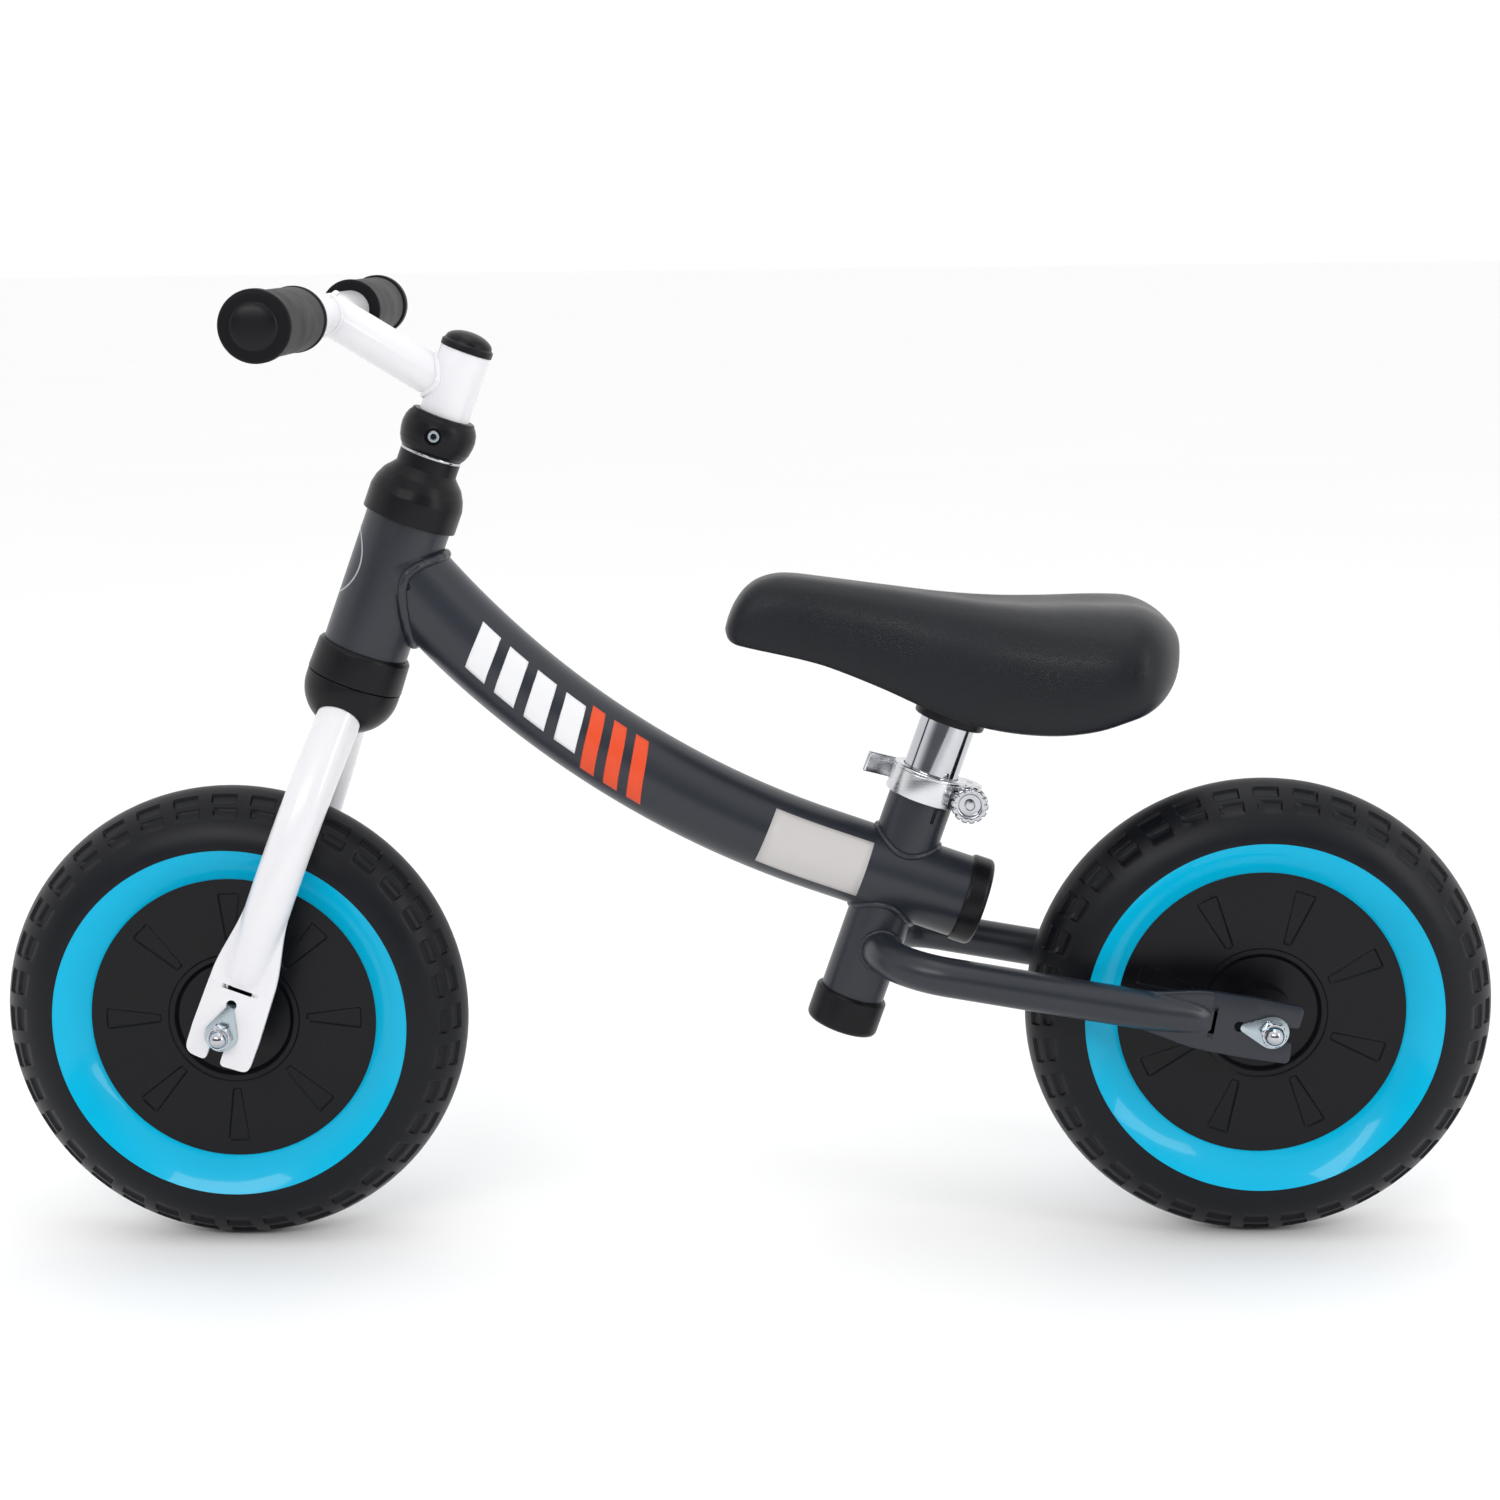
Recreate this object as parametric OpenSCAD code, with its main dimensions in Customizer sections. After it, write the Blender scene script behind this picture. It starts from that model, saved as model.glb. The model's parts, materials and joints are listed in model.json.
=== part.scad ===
// Balance bike: a bent-tube frame, a sprung-less fork turning in a threadless head set,
// two ball-bearing wheels, a height-adjustable handlebar and a quick-release saddle post.
// +X is the riding direction, +Y the rider's left, +Z up. The origin is on the ground,
// midway between the two axles.

/* [Overall] */
// Distance between the two axles
wheelbase = 591; // [480:1:720]
// Outside diameter of the tyres
tyre_d = 268; // [220:1:325]
// How far the steering axis leans back from vertical
head_lean = 20.5; // [16:0.5:25]
// How far the seat tube leans back from vertical
seat_lean = 19.3; // [15:0.1:24]
// How far the front axle lies ahead of the steering axis
fork_offset = 2; // [0:0.5:6]

/* [Frame] */
// Outside diameter of the main tube
main_tube_d = 48; // [38:0.1:58]
// Outside diameter of the two stays
stay_d = 22.2; // [18:0.1:27]
// Wall of the tubes
tube_wall = 2; // [1.5:0.1:2.5]
// Wall of the seat tube round the seat post
seat_wall = 2.6; // [2:0.1:3.2]
// Distance from the rear tyre forward to the crossing of main tube and seat tube
joint_ahead = 75.3; // [62:0.1:95]
// Height of that crossing above the axles
joint_up = 79.5; // [66:0.1:96]
// Straight length of the main tube ahead of the seat tube's axis
main_straight = 44; // [36:1:60]
// Length of the main tube behind the seat tube's axis
main_tail = 51; // [42:1:62]
// Length of the seat tube above the crossing
seat_tube_up = 62; // [50:1:80]
// Length of the seat tube below the crossing
seat_tube_down = 92; // [76:1:112]
// Slope of the stays, down to the rear axle
stay_slope = 10; // [6:0.5:13]
// Bend radius of the stays where they leave the seat tube
stay_elbow_r = 38; // [30:1:46]
// Length of the head tube
head_len = 94; // [78:1:114]
// Gap between the front tyre and the crown, along the steering axis
crown_gap = 44; // [34:1:56]

/* [Fork and handlebar] */
// Outside diameter of the stem post
stem_post_d = 28.6; // [23:0.1:35]
// Outside diameter of the fork legs
leg_d = 25.4; // [21:0.1:27]
// Angle at which the fork legs leave the crown
leg_angle = 30; // [25:1:36]
// Bend radius of the fork legs
leg_bend_r = 170; // [140:5:205]
// Outside diameter of the handlebar
bar_d = 22.2; // [18:0.1:27]
// Half the width of the handlebar, to the faces of the grips
bar_half = 200; // [165:5:240]
// Length of a grip
grip_len = 110; // [90:5:135]
// How far the handlebar lies ahead of the steering axis
bar_reach = 81; // [66:1:98]
// Height of the root of the stem's arm above the stem clamp
arm_up = 16; // [13:1:30]
// Thickness of the flattened fork and stay ends
plate_t = 5; // [4:0.5:6]

/* [Wheels] */
// Distance between the fork ends
front_hub_w = 92; // [88:1:112]
// Distance between the stay ends
rear_hub_w = 100; // [88:1:120]
// Half width of the tyre
tyre_half_w = 29.6; // [24:0.1:35.5]
// Height of the tyre outside the trim rings
tyre_h = 32; // [26:0.1:39]
// Width of the trim rings
ring_w = 19.6; // [16:0.1:24]
// Depth of the dish of the trim rings
ring_dish = 13.4; // [11:0.1:16]
// Diameter of the axles
axle_d = 8; // [6.5:0.1:10]
// Half length of the hub
hub_half = 26; // [21:1:31]

/* [Saddle] */
// Diameter of the seat post
seat_post_d = 31.8; // [26:0.1:38.2]
// Exposed length of the seat post above the clamp
post_shown = 30; // [27:1:70]
// Length of the seat post inside the frame
post_inside = 112; // [60:1:118]
// Length of the saddle
saddle_len = 255; // [210:1:306]
// Width of the saddle
saddle_w = 142; // [118:1:171]

/* [Fits] */
// Radial clearance of the parts that turn or slide in each other
run_gap = 0.05; // [0.02:0.01:0.08]
// Clearance between parts that pass each other freely
free_gap = 0.4; // [0.3:0.1:0.8]

/* [Hidden] */
$fn = 96;

axle_z = tyre_d / 2;
front_x = wheelbase / 2;
// foot of the steering axis, level with the axle along that axis
steer_x = front_x - fork_offset * cos(head_lean);
steer_z = axle_z - fork_offset * sin(head_lean);
// crossing of the main tube and the seat tube
joint_x = joint_ahead + axle_z - front_x;
joint_z = axle_z + joint_up;

// tubes that hold another tube are sized round it
seat_tube_d = seat_post_d + 2 * seat_wall;
steerer_d = stem_post_d + 3.2;
head_tube_d = steerer_d + 16.6;
head_bore_d = head_tube_d - 2 * tube_wall;
// short length by which pieces of one solid run into each other
lap = 0.5;
// a polygon with this many sides drawn round a circle, so that it stands just outside it
flat_fn = 32;

// fork crown and head tube, along the steering axis
cover_low_s = axle_z + crown_gap;
head_low = cover_low_s + 41;
head_high = head_low + head_len;

// bend of the main tube: it leaves the straight length and ends on the steering axis
meet_s = head_low + 0.67 * head_len;
meet_x = steer_x - meet_s * sin(head_lean);
meet_z = steer_z + meet_s * cos(head_lean);
bend_x0 = joint_x + main_straight * cos(seat_lean);
bend_z0 = joint_z + main_straight * sin(seat_lean);
chord_x = meet_x - bend_x0;
chord_z = meet_z - bend_z0;
chord_rise = chord_z * cos(seat_lean) - chord_x * sin(seat_lean);
main_bend_r = (chord_x * chord_x + chord_z * chord_z) / (2 * chord_rise);
bend_cx = bend_x0 - main_bend_r * sin(seat_lean);
bend_cz = bend_z0 + main_bend_r * cos(seat_lean);
bend_angle = atan2(meet_z - bend_cz, meet_x - bend_cx) + 90 - seat_lean;

// headset, along the steering axis
cup_flange = 5;
ball_d = 4.76;
ball_count = 16;
lower_ball_s = head_low - cup_flange + 0.6;
upper_ball_s = head_high + cup_flange - 0.6;
ball_pitch_r = head_bore_d / 2 - ball_d / 2 - 0.4;
cup_neck_r = ball_pitch_r - 2;
race_top_s = lower_ball_s - ball_d / 2 - run_gap;
race_low_s = race_top_s - 5;
crown_low_s = race_low_s - 11;
crown_r = cup_neck_r + 5.5;
cover_r = head_tube_d / 2 + 3;
cover_wall = 2.2;
cover_split_s = head_low - 10.3;
cover_dome_s = cover_split_s - 4.5;
cover_dome_h = cover_dome_s - cover_low_s;
cover_top_s = head_low + 9;
upper_cover_low_s = head_high - 7;
upper_cover_dome_s = head_high + 3;
upper_cover_dome_h = 24;
upper_race_h = 7;
upper_cover_neck_s = upper_cover_dome_s + 20;
neck_top_s = head_high + 31;
washer_t = 1.6;
clamp_h = 22.5;
clamp_low_s = neck_top_s + washer_t;
clamp_top_s = clamp_low_s + clamp_h;
clamp_mid_s = clamp_low_s + clamp_h / 2;
clamp_ball_r = steerer_d / 2 + 5.3;
steerer_low_s = crown_low_s - 8;
steerer_top_s = clamp_top_s - 5;
arm_rise = 10;
arm_d = bar_d + 1.4;
bar_s = clamp_top_s + arm_up + bar_reach * tan(arm_rise);
stem_post_low_s = steerer_top_s - 106;
stem_post_top_s = clamp_top_s + arm_up + 22;

// fork legs: straight out of the crown, one bend, straight down to the flattened end
leg_y = front_hub_w / 2 + plate_t / 2;
leg_top_s = race_low_s + 6.5;
leg_slant = (leg_y - leg_bend_r * (1 - cos(leg_angle))) / sin(leg_angle);
leg_bend_s = leg_top_s - leg_slant * cos(leg_angle) - leg_bend_r * sin(leg_angle);
leg_round_low_s = min(72, leg_bend_s - 4);
leg_plate_top_s = 38;
leg_plate_w = 39;
leg_plate_low_s = -17;
leg_hole_s = 19;

// stays: out of the side of the seat tube, one bend, straight back to the flattened end
stay_y = rear_hub_w / 2 + plate_t / 2;
stay_start = 6;
stay_straight_y = stay_y - stay_elbow_r;
// height of the stays' plane at the seat tube's axis
stay_meet_z = (axle_z + (joint_x + joint_z * tan(seat_lean) + front_x) * tan(stay_slope))
    / (1 + tan(seat_lean) * tan(stay_slope));
stay_meet_x = joint_x - (stay_meet_z - joint_z) * tan(seat_lean);
stay_reach = (stay_meet_x + front_x) / cos(stay_slope);
stay_round_end = stay_reach - 74;
stay_plate_start = stay_reach - 32;
stay_plate_end = stay_reach + 16;
stay_plate_h = 34;

// seat tube fittings, along the seat tube's axis from the crossing
foot_len = 21;
foot_d = seat_tube_d + 4.8;
foot_top = -seat_tube_down + 18;
cap_d = main_tube_d + 3;
cap_len = 12.5;
seat_bore_d = seat_post_d + 2 * run_gap;
clamp_top = seat_tube_up + 2;
clamp_ring_h = 16.5;
clamp_ring_r = seat_tube_d / 2 + 3.2;
clamp_lug_r = clamp_ring_r + 8.4;
slit_w = 2.2;
slit_depth = 25;
slit_turn = 28;
clamp_bolt_d = 6;
clamp_lug_w = 9;
clamp_nut_w = 8;
clamp_nut_r = 10.5;
clamp_mid = clamp_top - clamp_ring_h / 2;
clamp_bolt_x = 5 - clamp_lug_r;
clamp_neck_r = 4.8;
clamp_neck_w = sqrt(pow(clamp_ring_r, 2) - pow(clamp_bolt_x + clamp_nut_r, 2)) - clamp_lug_w + free_gap;
lever_h = 12;
lever_t = 3;
pivot_y = -17;
pivot_pin_d = 4;
eye_r = 5;
eye_h = 6;
cam_r = -pivot_y - clamp_lug_w - 0.1;
lever_r = clamp_ring_r + free_gap + 1;
lever_from = -128;
lever_to = -62;
lever_tip = 28;

post_top = clamp_top + post_shown + 3.5;
post_low = seat_tube_up - post_inside;
collar_low = clamp_top + post_shown;
collar_d = seat_post_d + 9;

// wheel, along the axle from the wheel's middle
ring_r = tyre_d / 2 - tyre_h;
ring_in_r = ring_r - ring_w;
disc_face_y = tyre_half_w - ring_dish;
disc_t = 2.2;
ring_t = 2;
seat_r = ring_r - ring_w / 2;
bearing_d = axle_d + 14;
bearing_w = 7;
hub_r = bearing_d / 2 + 6;
recess_r = hub_r + 17;
recess_depth = 5;
wedge_count = 8;
wedge_in_r = recess_r + 8;
wedge_out_r = ring_in_r - 8.4;
wedge_in_w = 5;
wedge_out_w = 13;
wedge_depth = 0.8;
tread_power = 1.74;
nut_af = axle_d + 5;
nut_h = 6.5;
nut_dome_h = 6;
nut_dome_r = nut_af / 2 - 1;
washer_plate_t = 1.5;
washer_r = axle_d + 1.3;
tab_reach = 18.6;
axle_reach = plate_t + washer_plate_t + nut_h + 2;
front_turn = 0;
rear_turn = 26;

// top of the collar's foot, which carries the saddle
collar_x = joint_x - collar_low * sin(seat_lean);
collar_z = joint_z + collar_low * cos(seat_lean);
// share of the saddle's length that lies ahead of the post
saddle_nose_x = collar_x + 0.495 * saddle_len;
saddle_z = collar_z - 302.3;
// saddle sections: share of the length from the nose, share of the half width, top and bottom height
saddle_sections = [
    [0.000, 0.10, 364, 355], [0.012, 0.14, 372, 351], [0.035, 0.20, 379, 349],
    [0.075, 0.26, 385, 347], [0.130, 0.30, 387.5, 344], [0.230, 0.33, 384.5, 338],
    [0.345, 0.39, 380.5, 326], [0.465, 0.52, 377, 313.5], [0.580, 0.71, 374.8, 307],
    [0.700, 0.90, 373.8, 305.5], [0.815, 1.00, 374, 309], [0.900, 0.94, 373, 317],
    [0.955, 0.76, 365, 326], [0.990, 0.46, 354, 335], [1.000, 0.20, 348, 339]];
saddle_ring = 32;

function lerp(a, b, t) = a + (b - a) * t;
function spow(v, p) = sign(v) * pow(abs(v), p);

// z along the steering axis, x ahead of it
module at_steer(s = 0, n = 0) {
    translate([steer_x, 0, steer_z]) rotate([0, -head_lean, 0]) translate([n, 0, s]) children();
}

// z along the seat tube's axis from the crossing, x ahead of it
module at_seat(a = 0) {
    translate([joint_x, 0, joint_z]) rotate([0, -seat_lean, 0]) translate([0, 0, a]) children();
}

// x pointing forwards along the stays, y across, from the seat tube's axis
module at_stay() {
    translate([stay_meet_x, 0, stay_meet_z]) rotate([0, -stay_slope, 0]) children();
}

module at_front_axle() { translate([front_x, 0, axle_z]) children(); }
module at_rear_axle() { translate([-front_x, 0, axle_z]) children(); }

// cylinder along +Y from y = 0
module along_y(d, h) { rotate([-90, 0, 0]) cylinder(d = d, h = h); }

// a pair of the same thing, left and right
module both_sides() {
    children();
    mirror([0, 1, 0]) children();
}

// closed half section turned about Z
module turned(points) { rotate_extrude() polygon(points); }

module pipe(d, bore, h) {
    difference() {
        cylinder(d = d, h = h);
        translate([0, 0, -1]) cylinder(d = bore, h = h + 2);
    }
}

// ---- frame ----

module main_tube_path(d, extra = 0) {
    translate([bend_x0, 0, bend_z0]) rotate([0, -seat_lean, 0]) {
        rotate([0, -90, 0]) cylinder(d = d, h = main_straight + main_tail + extra);
        translate([0, 0, main_bend_r]) rotate([90, 0, 0]) rotate_extrude(angle = bend_angle, start = -90)
            translate([main_bend_r, 0]) circle(d = d);
    }
}

module head_tube() {
    color("dimgray") at_steer(head_low) pipe(head_tube_d, head_bore_d, head_high - head_low);
}

module main_tube() {
    vent_d = 5;
    vent_behind = 13;
    vent_below = 8.6;
    color("dimgray") difference() {
        main_tube_path(main_tube_d);
        main_tube_path(main_tube_d - 2 * tube_wall, 1);
        at_steer(head_low - 40) cylinder(d = head_tube_d, h = head_high - head_low + 80);
        at_seat(-seat_tube_down) cylinder(d = seat_tube_d, h = seat_tube_down + seat_tube_up);
        // vent hole beside the weld at the head tube
        at_steer(meet_s - vent_below, -vent_behind) along_y(vent_d, main_tube_d);
    }
}

module seat_tube() {
    color("dimgray") difference() {
        at_seat(-seat_tube_down) pipe(seat_tube_d, seat_bore_d, seat_tube_down + seat_tube_up);
        // slit that lets the clamp close the tube on the post
        at_seat(seat_tube_up - slit_depth) rotate([0, 0, slit_turn])
            translate([-slit_w / 2, 0, 0]) cube([slit_w, seat_tube_d, slit_depth + 1]);
    }
}

module stay_path(d) {
    translate([-stay_start, 0, 0]) along_y(d, stay_straight_y);
    translate([-stay_start - stay_elbow_r, stay_straight_y, 0])
        rotate_extrude(angle = 90) translate([stay_elbow_r, 0]) circle(d = d);
    translate([-stay_round_end, stay_y, 0]) rotate([0, 90, 0])
        cylinder(d = d, h = stay_round_end - stay_start - stay_elbow_r);
}

// flattened end of a stay: a plate with a slot open to the rear
module stay_plate() {
    corner_r = 5;
    half = stay_plate_h / 2;
    translate([0, stay_y + plate_t / 2, 0]) rotate([90, 0, 0]) linear_extrude(plate_t) difference() {
        hull() {
            translate([-stay_plate_start, -half + 2]) square([1, stay_plate_h - 4]);
            translate([-stay_plate_end + corner_r + 1, half - corner_r]) circle(corner_r, $fn = 32);
            translate([-stay_plate_end + corner_r + 4, corner_r - half]) circle(corner_r, $fn = 32);
        }
        translate([-stay_reach, 0]) circle(d = axle_d + 0.2);
        translate([-stay_plate_end - 5, -axle_d / 2 - 0.1])
            square([stay_plate_end - stay_reach + 5, axle_d + 0.2]);
        translate([-stay_reach + leg_hole_s, 0]) circle(d = 6);
    }
}

module stay() {
    difference() {
        at_stay() stay_path(stay_d);
        at_stay() stay_path(stay_d - 2 * tube_wall);
        at_seat(-seat_tube_down) cylinder(d = seat_tube_d, h = seat_tube_down + seat_tube_up);
    }
    at_stay() hull() {
        translate([-stay_round_end, stay_y, 0]) rotate([0, -90, 0])
            cylinder(d = stay_d / cos(180 / flat_fn) + 0.1, h = 1, $fn = flat_fn);
        translate([-stay_plate_start - 1, stay_y - plate_t / 2, 2 - stay_plate_h / 2])
            cube([1, plate_t, stay_plate_h - 4]);
    }
    at_stay() stay_plate();
}

module left_stay() { color("dimgray") stay(); }
module right_stay() { color("dimgray") mirror([0, 1, 0]) stay(); }

// plastic plug with a rim that closes the main tube
module main_tube_cap() {
    edge_r = 3;
    color("black") translate([joint_x, 0, joint_z]) rotate([0, -90 - seat_lean, 0])
        translate([0, 0, main_tail - cap_len + 2]) difference() {
            union() {
                cylinder(d = cap_d, h = cap_len - edge_r);
                translate([0, 0, cap_len - edge_r]) rotate_extrude() {
                    square([cap_d / 2 - edge_r, edge_r]);
                    translate([cap_d / 2 - edge_r, 0]) intersection() {
                        circle(edge_r);
                        square(edge_r);
                    }
                }
            }
            // the tube's own wall sits in this groove
            difference() {
                translate([0, 0, -1]) cylinder(d = main_tube_d, h = cap_len - 1);
                translate([0, 0, -2]) cylinder(d = main_tube_d - 2 * tube_wall, h = cap_len + 1);
            }
            translate([0, 0, -1]) cylinder(d = main_tube_d - 2 * tube_wall - 4, h = cap_len - 3);
        }
}

module seat_tube_foot() {
    edge_r = 3;
    plug_len = 8;
    color("black") at_seat(foot_top - foot_len) difference() {
        union() {
            translate([0, 0, edge_r]) cylinder(d = foot_d, h = foot_len - edge_r);
            rotate_extrude() {
                square([foot_d / 2 - edge_r, edge_r]);
                translate([foot_d / 2 - edge_r, edge_r]) intersection() {
                    circle(edge_r);
                    translate([0, -edge_r]) square(edge_r);
                }
            }
        }
        translate([0, 0, -seat_tube_down - foot_top + foot_len]) difference() {
            cylinder(d = seat_tube_d, h = foot_len);
            translate([0, 0, -1]) cylinder(d = seat_bore_d, h = plug_len + 1);
        }
    }
}

// ---- headset ----

// pressed cup: body inside the head tube, flange on its end, track for the balls
module bearing_cup() {
    press_len = 9;
    difference() {
        union() {
            translate([0, 0, -cup_flange]) cylinder(d = head_tube_d, h = cup_flange);
            cylinder(d = head_bore_d, h = press_len);
        }
        translate([0, 0, -cup_flange - 1]) cylinder(r = cup_neck_r, h = cup_flange + press_len + 2);
        translate([0, 0, -cup_flange - 1])
            cylinder(r = ball_pitch_r + ball_d / 2 + run_gap, h = cup_flange + ball_d / 2 - 2 + run_gap);
    }
}

module ball_ring() {
    for (i = [0 : ball_count - 1])
        rotate([0, 0, i * 360 / ball_count]) translate([ball_pitch_r, 0, 0]) sphere(d = ball_d, $fn = 32);
}

module lower_bearing_cup() { color("silver") at_steer(head_low) bearing_cup(); }
module upper_bearing_cup() { color("silver") at_steer(head_high) mirror([0, 0, 1]) bearing_cup(); }
module lower_bearing_balls() { color("silver") at_steer(lower_ball_s) ball_ring(); }
module upper_bearing_balls() { color("silver") at_steer(upper_ball_s) ball_ring(); }

module lower_cup_cover() {
    rim = 2;
    color("black") at_steer() difference() {
        union() {
            translate([0, 0, cover_split_s + 0.3])
                cylinder(r = cover_r, h = cover_top_s - rim - cover_split_s - 0.3);
            translate([0, 0, cover_top_s - rim]) cylinder(r1 = cover_r, r2 = cover_r - 1.2, h = rim);
        }
        translate([0, 0, cover_split_s - 1]) cylinder(d = head_tube_d, h = cover_top_s - cover_split_s + 2);
    }
}

module crown_race() {
    color("silver") at_steer(race_low_s)
        pipe(2 * ball_pitch_r + ball_d, steerer_d, race_top_s - race_low_s);
}

module fork_crown() {
    color("white") at_steer(crown_low_s) pipe(2 * crown_r, steerer_d, race_low_s - crown_low_s);
}

// half outline of a dome: radius r at the foot, height h, as a fan of points
function dome(r, h, power = 2, steps = 14) =
    [for (i = [0 : steps]) let (t = 90 * i / steps)
        [r * pow(cos(t), 2 / power), h * pow(sin(t), 2 / power)]];

module crown_cover() {
    outer = dome(cover_r, cover_dome_h);
    inner = dome(cover_r - cover_wall, cover_dome_h - cover_wall);
    top = cover_split_s - 0.3;
    color("black") at_steer() difference() {
        turned(concat([[0, top], [cover_r, top]], [for (p = outer) [p[0], cover_dome_s - p[1]]]));
        turned(concat([[0, top + 1], [cover_r - cover_wall, top + 1]],
            [for (p = inner) [p[0], cover_dome_s - p[1]]]));
        both_sides() leg_path(leg_d + 2 * free_gap);
    }
}

// nut on the thread of the steerer that holds the upper balls down
module upper_race() {
    color("silver") at_steer(upper_ball_s + ball_d / 2 + run_gap)
        pipe(2 * ball_pitch_r + ball_d, steerer_d, upper_race_h);
}

module upper_cover() {
    inner_r = head_tube_d / 2 + free_gap;
    neck_r = steerer_d / 2 + 1.5;
    outer = [for (p = dome(cover_r - 0.3, upper_cover_dome_h, 2.4)) if (p[0] > neck_r) p];
    inner = [for (p = dome(inner_r, upper_cover_dome_h - cover_wall, 2.4)) if (p[0] > steerer_d / 2) p];
    inner_end = inner[len(inner) - 1][1] + 0.6;
    color("black") at_steer(upper_cover_dome_s) turned(concat(
        [[inner_r, upper_cover_low_s - upper_cover_dome_s],
            [cover_r - 0.3, upper_cover_low_s - upper_cover_dome_s]],
        outer, [[neck_r, outer[len(outer) - 1][1] + 1], [neck_r, neck_top_s - upper_cover_dome_s],
            [steerer_d / 2, neck_top_s - upper_cover_dome_s], [steerer_d / 2, inner_end]],
        [for (i = [len(inner) - 1 : -1 : 0]) inner[i]]));
}

module clamp_washer() {
    color("silver") at_steer(neck_top_s) pipe(steerer_d + 3.4, steerer_d, washer_t);
}

// ball-shaped collar that clamps the stem post in the steerer
module stem_clamp() {
    screw_seat_d = 9;
    color("black") at_steer(clamp_mid_s) difference() {
        intersection() {
            sphere(r = clamp_ball_r);
            translate([0, 0, -clamp_h / 2]) cylinder(r = clamp_ball_r + 1, h = clamp_h);
        }
        translate([0, 0, -clamp_h]) cylinder(d = steerer_d, h = clamp_h + steerer_top_s - clamp_mid_s);
        translate([0, 0, -clamp_h]) cylinder(d = stem_post_d + 2 * run_gap, h = 2 * clamp_h);
        along_y(6, clamp_ball_r + 1);
        translate([0, clamp_ball_r - 3, 0]) along_y(screw_seat_d, 4);
    }
}

module stem_clamp_screw() {
    head_d = 8.4;
    color("silver") at_steer(clamp_mid_s) difference() {
        union() {
            translate([0, steerer_d / 2, 0]) along_y(6, clamp_ball_r - 3 - steerer_d / 2);
            translate([0, clamp_ball_r - 3, 0]) along_y(head_d, 2.2);
        }
        // cross recess
        for (a = [0, 90]) translate([0, clamp_ball_r - 2, 0]) rotate([0, a, 0])
            translate([-2.4, 0, -0.5]) cube([4.8, 2, 1]);
    }
}

// ---- fork ----

module steerer_tube() {
    color("white") at_steer(steerer_low_s)
        pipe(steerer_d, stem_post_d + 2 * run_gap, steerer_top_s - steerer_low_s);
}

module leg_path(d) {
    // straight length from the crown, joined to the bend by a ball a hair wider than the tube
    translate([0, 0, leg_top_s]) rotate([180 + leg_angle, 0, 0]) {
        cylinder(d = d, h = leg_slant - lap);
        translate([0, 0, leg_slant]) sphere(d = d + 0.2);
    }
    translate([0, leg_y - leg_bend_r, leg_bend_s]) rotate([90, 0, 90])
        rotate_extrude(angle = leg_angle) translate([leg_bend_r, 0]) circle(d = d);
    translate([0, leg_y, leg_round_low_s]) cylinder(d = d, h = leg_bend_s - leg_round_low_s);
}

// flattened end of a fork leg: a plate with a slot open at the bottom
module leg_plate() {
    tip_r = 7;
    half = leg_plate_w / 2;
    top_half = half - 1.5;
    translate([0, leg_y + plate_t / 2, 0]) rotate([90, 0, 0]) linear_extrude(plate_t) difference() {
        hull() {
            translate([-top_half, leg_plate_top_s]) square([2 * top_half, 1]);
            for (side = [-1, 1])
                translate([side * (half - tip_r), leg_plate_low_s + tip_r]) circle(tip_r, $fn = 32);
        }
        translate([fork_offset, 0]) circle(d = axle_d + 0.2);
        translate([fork_offset - axle_d / 2 - 0.1, leg_plate_low_s - 5])
            square([axle_d + 0.2, -leg_plate_low_s + 5]);
        translate([fork_offset, leg_hole_s]) circle(d = 6);
    }
}

module fork_leg() {
    top_half = leg_plate_w / 2 - 1.5;
    difference() {
        leg_path(leg_d);
        leg_path(leg_d - 2 * tube_wall);
        translate([0, 0, steerer_low_s]) cylinder(d = steerer_d, h = 60);
        translate([0, 0, crown_low_s]) cylinder(r = crown_r + 10, h = 60);
        translate([-leg_d, -2 * leg_d, steerer_low_s - 60]) cube([2 * leg_d, 2 * leg_d, 100]);
    }
    hull() {
        translate([0, leg_y, leg_round_low_s]) cylinder(d = leg_d / cos(180 / flat_fn) + 0.1, h = 1, $fn = flat_fn);
        translate([-top_half, leg_y - plate_t / 2, leg_plate_top_s]) cube([2 * top_half, plate_t, 1]);
    }
    leg_plate();
}

module left_fork_leg() { color("white") at_steer() fork_leg(); }
module right_fork_leg() { color("white") at_steer() mirror([0, 1, 0]) fork_leg(); }

// ---- handlebar ----

module stem_post() {
    color("white") at_steer(stem_post_low_s)
        pipe(stem_post_d, stem_post_d - 2 * tube_wall, stem_post_top_s - stem_post_low_s);
}

module stem_plug() {
    rim_d = stem_post_d + 1;
    rim_h = 3;
    plug_r = stem_post_d / 2 - tube_wall;
    color("black") at_steer(stem_post_top_s) turned(concat([[0, -10], [plug_r, -10], [plug_r, 0],
        [rim_d / 2, 0], [rim_d / 2, rim_h]], [for (p = dome(rim_d / 2 - 0.4, 9)) [p[0], p[1] + rim_h]]));
}

module stem_arm() {
    arm_len = bar_reach / cos(arm_rise);
    color("white") at_steer(bar_s, bar_reach) difference() {
        rotate([0, -90 - arm_rise, 0]) pipe(arm_d, arm_d - 2 * tube_wall, arm_len);
        translate([-bar_reach, 0, -60]) cylinder(d = stem_post_d, h = 120);
        translate([0, -bar_d, 0]) along_y(bar_d, 2 * bar_d);
    }
}

module handlebar() {
    bar_end = bar_half - 6;
    color("white") at_steer(bar_s, bar_reach) translate([0, -bar_end, 0]) difference() {
        along_y(bar_d, 2 * bar_end);
        translate([0, -1, 0]) along_y(bar_d - 2 * tube_wall, 2 * bar_end + 2);
    }
}

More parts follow.
